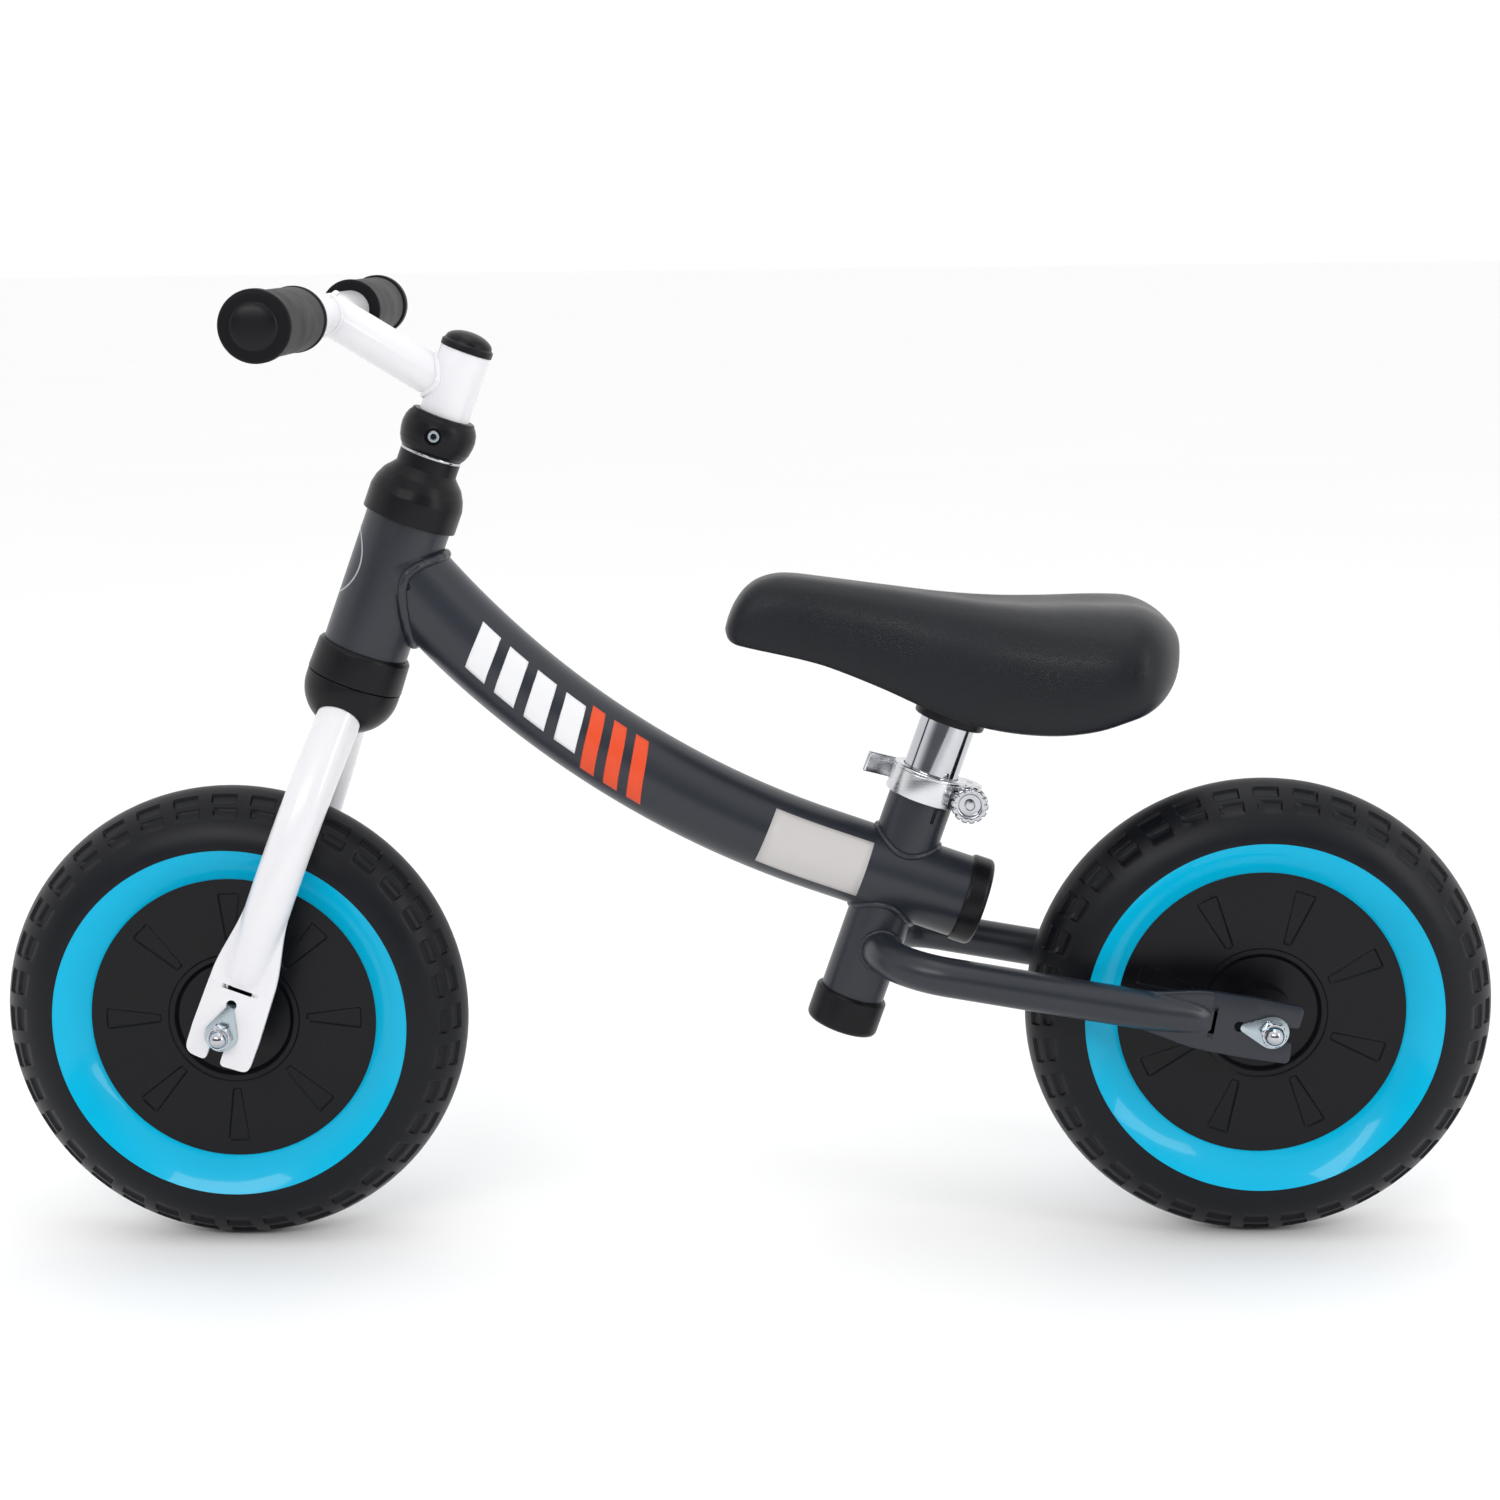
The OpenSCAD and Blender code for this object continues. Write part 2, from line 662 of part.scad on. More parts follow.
// soft grip: a sleeve with a wider rim at its outer end
module grip() {
    sleeve_r = bar_d / 2 + 5.9;
    rim_r = bar_d / 2 + 7.7;
    rim_w = 9;
    edge = 1.5;
    inner_y = bar_half - grip_len;
    at_steer(bar_s, bar_reach) difference() {
        rotate([-90, 0, 0]) rotate_extrude() polygon([
            [0, inner_y], [sleeve_r - 3, inner_y], [sleeve_r - 0.8, inner_y + 1.2], [sleeve_r, inner_y + 4],
            [sleeve_r, bar_half - rim_w - edge], [rim_r - edge, bar_half - rim_w],
            [rim_r, bar_half - rim_w + edge], [rim_r, bar_half - edge],
            [rim_r - edge, bar_half], [0, bar_half]]);
        translate([0, inner_y - 1, 0]) along_y(bar_d, grip_len + 2);
    }
}

module left_grip() { color("black") grip(); }
module right_grip() { color("black") mirror([0, 1, 0]) grip(); }

module bar_end_plugs() {
    plug_r = bar_d / 2 - tube_wall;
    color("black") at_steer(bar_s, bar_reach) both_sides() rotate([-90, 0, 0])
        turned(concat([[0, bar_half - 16], [plug_r, bar_half - 16], [plug_r, bar_half - 6],
            [bar_d / 2, bar_half - 6]], [for (p = dome(bar_d / 2, 2.6)) [p[0], p[1] + bar_half]]));
}

// ---- axles ----

module axle(half_w) {
    translate([0, -half_w - axle_reach, 0]) along_y(axle_d, 2 * (half_w + axle_reach));
}

// domed nut: hexagon, flange and a cap over the end of the axle
module axle_nuts(half_w) {
    both_sides() translate([0, half_w + plate_t + washer_plate_t, 0]) difference() {
        union() {
            rotate([-90, 0, 0]) cylinder(d = nut_af / cos(30), h = nut_h, $fn = 6);
            translate([0, nut_h - lap, 0]) rotate([-90, 0, 0])
                turned(concat([[0, 0], [nut_dome_r, 0]],
                    [for (p = dome(nut_dome_r, nut_dome_h)) [p[0], p[1] + lap]]));
        }
        translate([0, -1, 0]) along_y(axle_d, axle_reach - plate_t - washer_plate_t + 1);
    }
}

// pear-shaped washer whose tip hooks into the hole beside the slot
module tab_washers(half_w, turn) {
    both_sides() rotate([0, turn, 0]) translate([0, half_w + plate_t + washer_plate_t, 0])
        rotate([90, 0, 0]) linear_extrude(washer_plate_t) difference() {
            hull() {
                circle(r = washer_r, $fn = 48);
                translate([0, tab_reach - 3]) circle(r = 2.6, $fn = 32);
            }
            circle(d = axle_d);
        }
}

module axle_spacers(half_w) {
    spacer_d = axle_d + 6;
    both_sides() translate([0, hub_half + 0.1, 0]) difference() {
        along_y(spacer_d, half_w - hub_half - 0.1);
        translate([0, -1, 0]) along_y(axle_d, half_w);
    }
}

module rear_axle() { color("silver") at_rear_axle() axle(rear_hub_w / 2); }
module rear_axle_nuts() { color("silver") at_rear_axle() axle_nuts(rear_hub_w / 2); }
module rear_tab_washers() { color("silver") at_rear_axle() tab_washers(rear_hub_w / 2, 90 - stay_slope); }
module rear_axle_spacers() { color("silver") at_rear_axle() axle_spacers(rear_hub_w / 2); }
module front_axle() { color("silver") at_front_axle() axle(front_hub_w / 2); }
module front_axle_nuts() { color("silver") at_front_axle() axle_nuts(front_hub_w / 2); }
module front_tab_washers() { color("silver") at_front_axle() tab_washers(front_hub_w / 2, -head_lean); }
module front_axle_spacers() { color("silver") at_front_axle() axle_spacers(front_hub_w / 2); }

// ---- wheels, about the Y axis ----

module spin_y() { rotate([-90, 0, 0]) rotate_extrude() children(); }

// outer half outline of the tyre: a superellipse from one ring edge over the crown to the other
function tyre_outline(steps = 26) = [for (i = [0 : steps])
    let (t = 180 * i / steps)
        [ring_r + (tyre_d / 2 - ring_r) * pow(abs(sin(t)), 2 / tread_power),
            -tyre_half_w * spow(cos(t), 2 / tread_power)]];

module tyre() {
    inner_y = tyre_half_w - ring_t;
    spin_y() polygon(concat(tyre_outline(),
        [[ring_r, inner_y], [seat_r, disc_face_y + 3], [seat_r, -disc_face_y - 3], [ring_r, -inner_y]]));
}

// moulded rim, web and hub in one piece
module wheel_core() {
    barrel_y = disc_face_y - disc_t - 0.2;
    web_t = 4;
    rib_t = 3;
    rib_half = barrel_y - recess_depth - 1;
    spin_y() difference() {
        union() {
            translate([hub_r - 1, -web_t / 2]) square([seat_r - hub_r, web_t]);
            polygon([[ring_in_r - 5, -barrel_y], [ring_in_r, -barrel_y], [seat_r, -disc_face_y - 3],
                [seat_r, disc_face_y + 3], [ring_in_r, barrel_y], [ring_in_r - 5, barrel_y]]);
            translate([0, -hub_half]) square([hub_r, 2 * hub_half]);
        }
        translate([0, -hub_half - 1]) square([bearing_d / 2 - 2, 2 * hub_half + 2]);
        for (side = [-1, 1]) translate([0, side * (hub_half - bearing_w / 2 + 0.5) - bearing_w / 2 - 0.5])
            square([bearing_d / 2, bearing_w + 1]);
    }
    for (i = [0 : wedge_count - 1]) rotate([0, (i + 0.5) * 360 / wedge_count, 0])
        translate([hub_r - 1, -rib_half, -rib_t / 2]) cube([ring_in_r - 4 - hub_r, 2 * rib_half, rib_t]);
}

// dished disc with wedge-shaped marks, on each side
module wheel_discs(turn) {
    disc_r = ring_in_r;
    low = disc_face_y - disc_t;
    both_sides() difference() {
        spin_y() polygon([
            [hub_r, low - recess_depth], [recess_r + 1, low - recess_depth], [recess_r + 3, low],
            [disc_r, low], [disc_r, disc_face_y - 0.2], [recess_r + 1, disc_face_y - 0.2],
            [recess_r - 1, disc_face_y - recess_depth], [hub_r, disc_face_y - recess_depth]]);
        for (i = [0 : wedge_count - 1]) rotate([0, turn + i * 360 / wedge_count, 0])
            translate([0, disc_face_y + 1, 0]) rotate([90, 0, 0]) linear_extrude(1 + 0.2 + wedge_depth)
                polygon([[wedge_in_r, -wedge_in_w / 2], [wedge_out_r, -wedge_out_w / 2],
                    [wedge_out_r, wedge_out_w / 2], [wedge_in_r, wedge_in_w / 2]]);
    }
}

// glossy dished ring between the disc and the tyre, on each side
function ring_y(r) = let (t = (r - ring_in_r) / (ring_r - ring_in_r))
    disc_face_y + ring_dish * t + 1.1 * sin(180 * t);

module trim_rings() {
    steps = 8;
    front = [for (i = [0 : steps]) let (r = lerp(ring_in_r, ring_r, i / steps)) [r, ring_y(r)]];
    both_sides() spin_y() polygon(concat(front,
        [[ring_r, tyre_half_w - ring_t], [ring_in_r, disc_face_y - ring_t]]));
}

module wheel_bearings() {
    both_sides() translate([0, hub_half - bearing_w, 0]) difference() {
        along_y(bearing_d, bearing_w);
        translate([0, -1, 0]) along_y(axle_d + 2 * run_gap, bearing_w + 2);
    }
}

module hub_sleeve() {
    len = 2 * (hub_half - bearing_w);
    translate([0, -len / 2, 0]) difference() {
        along_y(axle_d + 5, len);
        translate([0, -1, 0]) along_y(axle_d + 0.4, len + 2);
    }
}

module front_tyre() { color("darkslategray") at_front_axle() tyre(); }
module front_wheel_core() { color("black") at_front_axle() wheel_core(); }
module front_wheel_discs() { color("black") at_front_axle() wheel_discs(front_turn); }
module front_trim_rings() { color("deepskyblue") at_front_axle() trim_rings(); }
module front_bearings() { color("silver") at_front_axle() wheel_bearings(); }
module front_hub_sleeve() { color("silver") at_front_axle() hub_sleeve(); }
module rear_tyre() { color("darkslategray") at_rear_axle() tyre(); }
module rear_wheel_core() { color("black") at_rear_axle() wheel_core(); }
module rear_wheel_discs() { color("black") at_rear_axle() wheel_discs(rear_turn); }
module rear_trim_rings() { color("deepskyblue") at_rear_axle() trim_rings(); }
module rear_bearings() { color("silver") at_rear_axle() wheel_bearings(); }
module rear_hub_sleeve() { color("silver") at_rear_axle() hub_sleeve(); }

// ---- seat clamp ----

module seat_clamp_ring() {
    lug_h = clamp_ring_h - 3;
    color("silver") at_seat(clamp_top - clamp_ring_h) difference() {
        union() {
            cylinder(r = clamp_ring_r, h = clamp_ring_h);
            translate([-clamp_lug_r, -clamp_lug_w, 1.5]) cube([12, 2 * clamp_lug_w, lug_h]);
        }
        translate([0, 0, -1]) cylinder(d = seat_tube_d, h = clamp_ring_h + 1 - (clamp_top - seat_tube_up));
        translate([0, 0, -1]) cylinder(d = seat_post_d + 2 * free_gap, h = clamp_ring_h + 2);
        translate([-clamp_lug_r - 1, -1.5, -1]) cube([clamp_lug_r, 3, clamp_ring_h + 2]);
        translate([clamp_bolt_x, -clamp_lug_w - 1, clamp_ring_h / 2])
            along_y(clamp_bolt_d, 2 * clamp_lug_w + 2);
    }
}

// bolt through the lugs, with an eye for the lever's pin
module seat_clamp_bolt() {
    bolt_end = clamp_lug_w + clamp_neck_w + clamp_nut_w - 1;
    color("silver") at_seat(clamp_mid) translate([clamp_bolt_x, 0, 0]) difference() {
        union() {
            translate([0, pivot_y, 0]) along_y(clamp_bolt_d, bolt_end - pivot_y);
            translate([0, pivot_y, -eye_h / 2]) cylinder(r = eye_r, h = eye_h);
        }
        translate([0, pivot_y, -eye_h]) cylinder(d = pivot_pin_d + 2 * run_gap, h = 2 * eye_h);
    }
}

// round nut, turned by hand, with grooves round its rim and a sunk face
module seat_clamp_nut() {
    grooves = 14;
    color("silver") at_seat(clamp_mid) translate([clamp_bolt_x, clamp_lug_w, 0]) difference() {
        union() {
            along_y(2 * clamp_neck_r, clamp_neck_w + 1);
            translate([0, clamp_neck_w, 0]) along_y(2 * clamp_nut_r, clamp_nut_w);
        }
        translate([0, -1, 0]) along_y(clamp_bolt_d, clamp_neck_w + clamp_nut_w + 2);
        translate([0, clamp_neck_w + clamp_nut_w - 3, 0]) along_y(12, 4);
        for (i = [0 : grooves - 1]) rotate([0, i * 360 / grooves, 0])
            translate([clamp_nut_r + 0.3, clamp_neck_w - 1, 0]) along_y(2.4, clamp_nut_w + 2);
    }
}

// outline of the lever from above: a curve round the clamp and a straight tip
function lever_edge(r, steps = 10) = concat(
    [for (i = [0 : steps]) let (t = lerp(lever_from, lever_to, i / steps)) [r * cos(t), r * sin(t)]],
    [[r * cos(lever_to) - lever_tip * sin(lever_to), r * sin(lever_to) + lever_tip * cos(lever_to)]]);

// lever lying round the clamp, with a forked cam that turns on the bolt's eye
module quick_release_lever() {
    inner = lever_edge(lever_r);
    outer = lever_edge(lever_r + lever_t);
    color("silver") at_seat(clamp_mid) difference() {
        translate([0, 0, -lever_h / 2]) {
            linear_extrude(lever_h)
                polygon(concat(inner, [for (i = [len(outer) - 1 : -1 : 0]) outer[i]]));
            translate([clamp_bolt_x, pivot_y, 0]) cylinder(r = cam_r, h = lever_h);
            linear_extrude(lever_h) polygon([[clamp_bolt_x, pivot_y + 1],
                [clamp_bolt_x, pivot_y - cam_r + 2], lerp(outer[1], inner[1], 0.2), lerp(outer[1], inner[1], 0.8)]);
        }
        // room for the eye and for the bolt as the lever swings open
        translate([clamp_bolt_x, pivot_y, -eye_h / 2 - free_gap])
            cylinder(r = cam_r + 1, h = eye_h + 2 * free_gap);
        translate([clamp_bolt_x, pivot_y, -lever_h]) cylinder(d = pivot_pin_d, h = 2 * lever_h);
    }
}

module quick_release_pin() {
    color("silver") at_seat(clamp_mid) translate([clamp_bolt_x, pivot_y, -lever_h / 2])
        cylinder(d = pivot_pin_d, h = lever_h);
}

// ---- saddle ----

module seat_post() {
    color("gainsboro") at_seat(post_low) pipe(seat_post_d, seat_post_d - 2 * tube_wall, post_top - post_low);
}

// height of the underside of the pad, by place along the saddle
function under_z(x) = saddle_z
    + lookup((saddle_nose_x - x) / saddle_len, [for (s = saddle_sections) [s[0], s[3]]]);

function saddle_point(sec, k) = let (
        a = 360 * k / saddle_ring,
        half_h = (sec[2] - sec[3]) / 2,
        mid_z = saddle_z + (sec[2] + sec[3]) / 2,
        flat = sin(a) < 0 ? 0.45 : 0.9)
    [saddle_nose_x - sec[0] * saddle_len, sec[1] * saddle_w / 2 * spow(cos(a), 0.8),
        mid_z + half_h * spow(sin(a), flat)];

// closed skin through rings of points
module skin(rings) {
    n = len(rings[0]);
    last = len(rings) - 1;
    points = [for (r = rings) each r];
    sides = [for (i = [0 : last - 1], k = [0 : n - 1])
        each [[i * n + k, i * n + (k + 1) % n, (i + 1) * n + k],
            [i * n + (k + 1) % n, (i + 1) * n + (k + 1) % n, (i + 1) * n + k]]];
    caps = [[for (k = [0 : n - 1]) n - 1 - k], [for (k = [0 : n - 1]) last * n + k]];
    polyhedron(points, concat(sides, caps));
}

module saddle_pad() {
    color("black") skin([for (sec = saddle_sections) [for (k = [0 : saddle_ring - 1]) saddle_point(sec, k)]]);
}

// stiff plate under the pad, with the socket that holds the post
module saddle_base() {
    plate = 3;
    gap = 0.2;
    used = [for (sec = saddle_sections) if (sec[0] > 0.1 && sec[0] < 0.93) sec];
    // the socket's top follows the slope of the plate
    front_x = collar_x + collar_d / 2 - 4;
    rear_x = collar_x - collar_d / 2 - 4;
    front_z = under_z(front_x) - gap - plate * 0.6;
    rear_z = under_z(rear_x) - gap - plate * 0.6;
    color("black") {
        skin([for (sec = used)
            let (x = saddle_nose_x - sec[0] * saddle_len, w = sec[1] * saddle_w / 2 * 0.62,
                z = saddle_z + sec[3] - gap)
                [[x, w, z], [x, -w, z], [x, -w, z - plate], [x, w, z - plate]]]);
        difference() {
            at_seat(collar_low) cylinder(d = collar_d, h = 40);
            at_seat(collar_low - 1) cylinder(d = seat_post_d, h = post_top - collar_low + 1);
            translate([rear_x, 0, rear_z]) rotate([0, -atan2(front_z - rear_z, front_x - rear_x), 0])
                translate([-60, -60, 0]) cube(120);
        }
    }
}

head_tube();
main_tube();
seat_tube();
left_stay();
right_stay();
main_tube_cap();
seat_tube_foot();
lower_bearing_cup();
upper_bearing_cup();
lower_bearing_balls();
upper_bearing_balls();
lower_cup_cover();
seat_clamp_ring();
seat_clamp_bolt();
seat_clamp_nut();
rear_axle();
rear_axle_nuts();
rear_tab_washers();
rear_axle_spacers();
steerer_tube();
fork_crown();
crown_race();
left_fork_leg();
right_fork_leg();
crown_cover();
upper_race();
upper_cover();
clamp_washer();
stem_clamp();
stem_clamp_screw();
front_axle();
front_axle_nuts();
front_tab_washers();
front_axle_spacers();
stem_post();
stem_arm();
handlebar();
stem_plug();
left_grip();
right_grip();
bar_end_plugs();
front_tyre();
front_wheel_core();
front_wheel_discs();
front_trim_rings();
front_bearings();
front_hub_sleeve();
rear_tyre();
rear_wheel_core();
rear_wheel_discs();
rear_trim_rings();
rear_bearings();
rear_hub_sleeve();
quick_release_lever();
quick_release_pin();
seat_post();
saddle_base();
saddle_pad();
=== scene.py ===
"""Looks of a child's balance bike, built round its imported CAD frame.

Lengths are in millimetres up to the mesh, which is in metres.
"""
import json
import math

import bmesh
import bpy
from mathutils import Matrix, Vector


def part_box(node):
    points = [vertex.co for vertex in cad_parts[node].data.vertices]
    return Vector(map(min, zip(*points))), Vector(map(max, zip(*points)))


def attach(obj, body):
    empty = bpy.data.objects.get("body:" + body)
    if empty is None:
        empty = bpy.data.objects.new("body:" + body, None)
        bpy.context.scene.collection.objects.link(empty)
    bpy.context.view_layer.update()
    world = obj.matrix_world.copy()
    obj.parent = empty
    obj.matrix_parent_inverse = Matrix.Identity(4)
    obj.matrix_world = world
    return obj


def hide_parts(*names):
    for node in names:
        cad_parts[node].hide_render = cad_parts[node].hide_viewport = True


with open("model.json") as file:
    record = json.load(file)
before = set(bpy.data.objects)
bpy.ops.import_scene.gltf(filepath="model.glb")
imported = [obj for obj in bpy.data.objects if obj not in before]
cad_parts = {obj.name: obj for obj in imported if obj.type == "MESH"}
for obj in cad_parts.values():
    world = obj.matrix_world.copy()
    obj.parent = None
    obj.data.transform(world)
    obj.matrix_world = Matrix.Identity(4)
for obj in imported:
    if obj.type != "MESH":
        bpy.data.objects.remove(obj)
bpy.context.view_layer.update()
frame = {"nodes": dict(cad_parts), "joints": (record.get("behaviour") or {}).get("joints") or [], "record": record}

MM = 0.001
TAU = 2 * math.pi
Y_AXIS = Vector((0, 1, 0))


def node_box(name):
    """Lowest and highest corner of a CAD node, in millimetres."""
    lo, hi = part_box(name)
    return Vector(lo) / MM, Vector(hi) / MM


def joint(name):
    return next(j for j in frame["joints"] if j["name"] == name)


def axis_of(name):
    return Vector(joint(name)["axis"]).normalized()


def place_of(name):
    return Vector(joint(name)["pos_m"]) / MM


def local_frame(origin, up):
    """Matrix whose z follows up, y is the rider's left and x is ahead."""
    up = up.normalized()
    ahead = Y_AXIS.cross(up)
    rows = [(ahead[i], Y_AXIS[i], up[i], origin[i]) for i in range(3)]
    return Matrix((*rows, (0, 0, 0, 1)))


# ---- places, from the joints and the CAD nodes ----

FRONT_AXLE = place_of("front_wheel_spin")
REAR_AXLE = place_of("rear_wheel_spin")
STEER = local_frame(place_of("steering"), axis_of("steering"))
SEAT_UP = axis_of("saddle_height")
SEAT_LEAN = math.atan2(-SEAT_UP.x, SEAT_UP.z)
HEAD_LEAN = math.atan2(-axis_of("steering").x, axis_of("steering").z)

TYRE_R = FRONT_AXLE.z
JOINT_AHEAD, JOINT_UP = 75.3, 79.5
JOINT = Vector((JOINT_AHEAD + TYRE_R + REAR_AXLE.x, 0, TYRE_R + JOINT_UP))
SEAT = local_frame(JOINT, SEAT_UP)

TUBE_WALL = 2.0
MAIN_D = 48.0
SEAT_D = 37.0
STAY_D = 22.2
HEAD_D = 48.4
POST_D = 31.8
LEG_D = 25.4
STEM_D = 28.6
STEERER_D = 31.8
BAR_D = 22.2
ARM_D = 23.6
HEAD_LEN = 94.0
HEAD_LOW = TYRE_R + 85.0
HEAD_HIGH = HEAD_LOW + HEAD_LEN
# where the main tube's centre line meets the steering axis
MEET_S = HEAD_LOW + 0.67 * HEAD_LEN
MAIN_STRAIGHT = 44.0
MAIN_TAIL = 51.0
SEAT_UP_LEN = 62.0
SEAT_DOWN_LEN = 92.0
BAR_REACH = 81.0
BAR_HALF = 200.0
GRIP_LEN = 110.0
PLATE_T = 5.0

# ---- mesh helpers ----


def circle(r, z, count, spin=0.0):
    angles = (TAU * k / count + spin for k in range(count))
    return [(r * math.cos(a), r * math.sin(a), z) for a in angles]


def arc(r, first, last, steps, centre=(0.0, 0.0)):
    """Points (x, y) of an arc, both ends included."""
    angles = (first + (last - first) * k / steps for k in range(steps + 1))
    return [(centre[0] + r * math.cos(a), centre[1] + r * math.sin(a)) for a in angles]


def rod(r, low, high):
    """Outline of a solid round bar, for lathe_into."""
    return [(0, low), (r, low), (r, high), (0, high)]


def direction_at(path, i):
    return (path[min(i + 1, len(path) - 1)] - path[max(i - 1, 0)]).normalized()


def on_side(rings, side):
    """The rings as they are on the left, mirrored for the right."""
    return [[Vector((p.x, side * p.y, p.z)) for p in ring] for ring in rings]


def new_object(name, mesh, body, slot, material, nodes=()):
    piece = bpy.data.objects.new(name, mesh)
    bpy.context.scene.collection.objects.link(piece)
    mesh.materials.append(material)
    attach(piece, body)
    if nodes:
        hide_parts(*nodes)
    return piece


def finish_mesh(bm, name, sharp=35.0, weld=True):
    if weld:
        bmesh.ops.remove_doubles(bm, verts=bm.verts, dist=1e-7)
    bmesh.ops.recalc_face_normals(bm, faces=bm.faces)
    mesh = bpy.data.meshes.new(name)
    bm.to_mesh(mesh)
    bm.free()
    mesh.polygons.foreach_set("use_smooth", [True] * len(mesh.polygons))
    mesh.set_sharp_from_angle(angle=math.radians(sharp))
    return mesh


def skin(bm, rings, matrix, close_ring=True, caps=True):
    """Quads through equal rings of points, in millimetres in the matrix's frame."""
    made = [[bm.verts.new((matrix @ Vector(p)) * MM) for p in ring] for ring in rings]
    count = len(rings[0])
    last = count if close_ring else count - 1
    for a, b in zip(made, made[1:]):
        for k in range(last):
            k2 = (k + 1) % count
            bm.faces.new([a[k], a[k2], b[k2], b[k]])
    if caps:
        bm.faces.new(list(reversed(made[0])))
        bm.faces.new(made[-1])
    return made


def rounded(points, radii, steps=5, closed=True):
    """Outline with its corners rounded; radii is one number or one for each corner."""
    out = []
    count = len(points)
    for i, p in enumerate(points):
        r = radii[i] if isinstance(radii, (list, tuple)) else radii
        if r <= 0 or (not closed and i in (0, count - 1)):
            out.append(tuple(p))
            continue
        p = Vector(p)
        a = Vector(points[i - 1]) - p
        b = Vector(points[(i + 1) % count]) - p
        half = a.angle(b) / 2
        if half > math.pi / 2 - 0.02:
            out.append(tuple(p))
            continue
        reach = min(r / math.tan(half), a.length * 0.48, b.length * 0.48)
        start, end = p + a.normalized() * reach, p + b.normalized() * reach
        for k in range(steps + 1):
            t = k / steps
            q = start * (1 - t) ** 2 + p * 2 * t * (1 - t) + end * t * t
            out.append(tuple(q))
    return out


def lathe_into(bm, outline, matrix, segments=96):
    """Turns a closed outline of (radius, height) about the matrix's z."""
    rings = []
    for k in range(segments):
        c, s = math.cos(TAU * k / segments), math.sin(TAU * k / segments)
        rings.append([(r * c, r * s, h) for r, h in outline])
    rings.append(rings[0])
    skin(bm, rings, matrix, close_ring=True, caps=False)


def lathe(name, outline, matrix, body, slot, material, nodes=(), segments=96, sharp=35.0):
    bm = bmesh.new()
    lathe_into(bm, outline, matrix, segments)
    return new_object(name, clean(bm, name, sharp), body, slot, material, nodes)


def clean(bm, name, sharp=35.0):
    """Merges the points that a turned outline leaves on its axis, and drops the faces that vanish."""
    bmesh.ops.remove_doubles(bm, verts=bm.verts, dist=2e-7)
    bmesh.ops.dissolve_degenerate(bm, edges=bm.edges, dist=1e-8)
    return finish_mesh(bm, name, sharp, weld=False)


def ring_matrix(centre, axis):
    """z along the axis, any x."""
    rotation = Vector((0, 0, 1)).rotation_difference(axis.normalized()).to_matrix().to_4x4()
    return Matrix.Translation(centre) @ rotation


def wheel_matrix(centre, side=1):
    """z along the axle, outwards on the side asked for."""
    return Matrix.Translation(centre) @ Matrix.Rotation(-side * math.pi / 2, 4, "X")


def sweep_rings(path, r, segments=64, twist_from=Y_AXIS):
    """Round rings square to a smooth path of points."""
    rings = []
    side = None
    for i, p in enumerate(path):
        along = direction_at(path, i)
        side = twist_from if side is None else side
        side = (side - along * side.dot(along)).normalized()
        other = along.cross(side)
        rings.append([p + side * x + other * y for x, y, _ in circle(r, 0, segments)])
    return rings


def extrude_outline(bm, outline, matrix, low, high, bevel=0.0, steps=3):
    """Prism of a closed (x, y) outline between two heights, with rounded rims."""
    area = sum(a[0] * b[1] - b[0] * a[1] for a, b in zip(outline, outline[1:] + outline[:1]))
    turn = 1 if area > 0 else -1

    def inset(d):
        ring = []
        n = len(outline)
        for i in range(n):
            p = Vector(outline[i])
            a = p - Vector(outline[i - 1])
            b = Vector(outline[(i + 1) % n]) - p
            a = a.normalized() if a.length > 1e-9 else b.normalized()
            b = b.normalized() if b.length > 1e-9 else a
            na, nb = Vector((-a.y, a.x)) * turn, Vector((-b.y, b.x)) * turn
            m = na + nb
            m = m.normalized() if m.length > 1e-6 else na
            ring.append(p + m * d / max(m.dot(na), 0.5))
        return ring

    if bevel > 0:
        turns = [math.pi / 2 * k / steps for k in range(steps + 1)]
        levels = [(low + bevel * (1 - math.cos(t)), bevel * (1 - math.sin(t))) for t in turns]
        levels += [(high - bevel * (1 - math.sin(t)), bevel * (1 - math.cos(t))) for t in turns]
        rings = [[(p[0], p[1], z) for p in inset(d)] for z, d in levels]
    else:
        rings = [[(p[0], p[1], z) for p in outline] for z in (low, high)]
    skin(bm, rings, matrix)


def cut(piece, cutter_mesh):
    """Takes a closed mesh away from a piece and applies it."""
    tool = bpy.data.objects.new("cutter", cutter_mesh)
    bpy.context.scene.collection.objects.link(tool)
    change = piece.modifiers.new("cut", "BOOLEAN")
    change.operation = "DIFFERENCE"
    change.solver = "EXACT"
    change.object = tool
    dg = bpy.context.evaluated_depsgraph_get()
    made = bpy.data.meshes.new_from_object(piece.evaluated_get(dg))
    piece.modifiers.clear()
    old = piece.data
    piece.data = made
    made.set_sharp_from_angle(angle=math.radians(35))
    bpy.data.meshes.remove(old)
    bpy.data.objects.remove(tool)
    bpy.data.meshes.remove(cutter_mesh)


def solid_mesh(build):
    bm = bmesh.new()
    build(bm)
    return clean(bm, "solid")


def bore(piece, outline, matrix, segments):
    cut(piece, solid_mesh(lambda bm: lathe_into(bm, outline, matrix, segments)))


# ---- materials ----


def material(name):
    made = bpy.data.materials.new(name)
    made.use_nodes = True
    tree = made.node_tree
    return made, tree.nodes, tree.links, tree.nodes["Principled BSDF"]


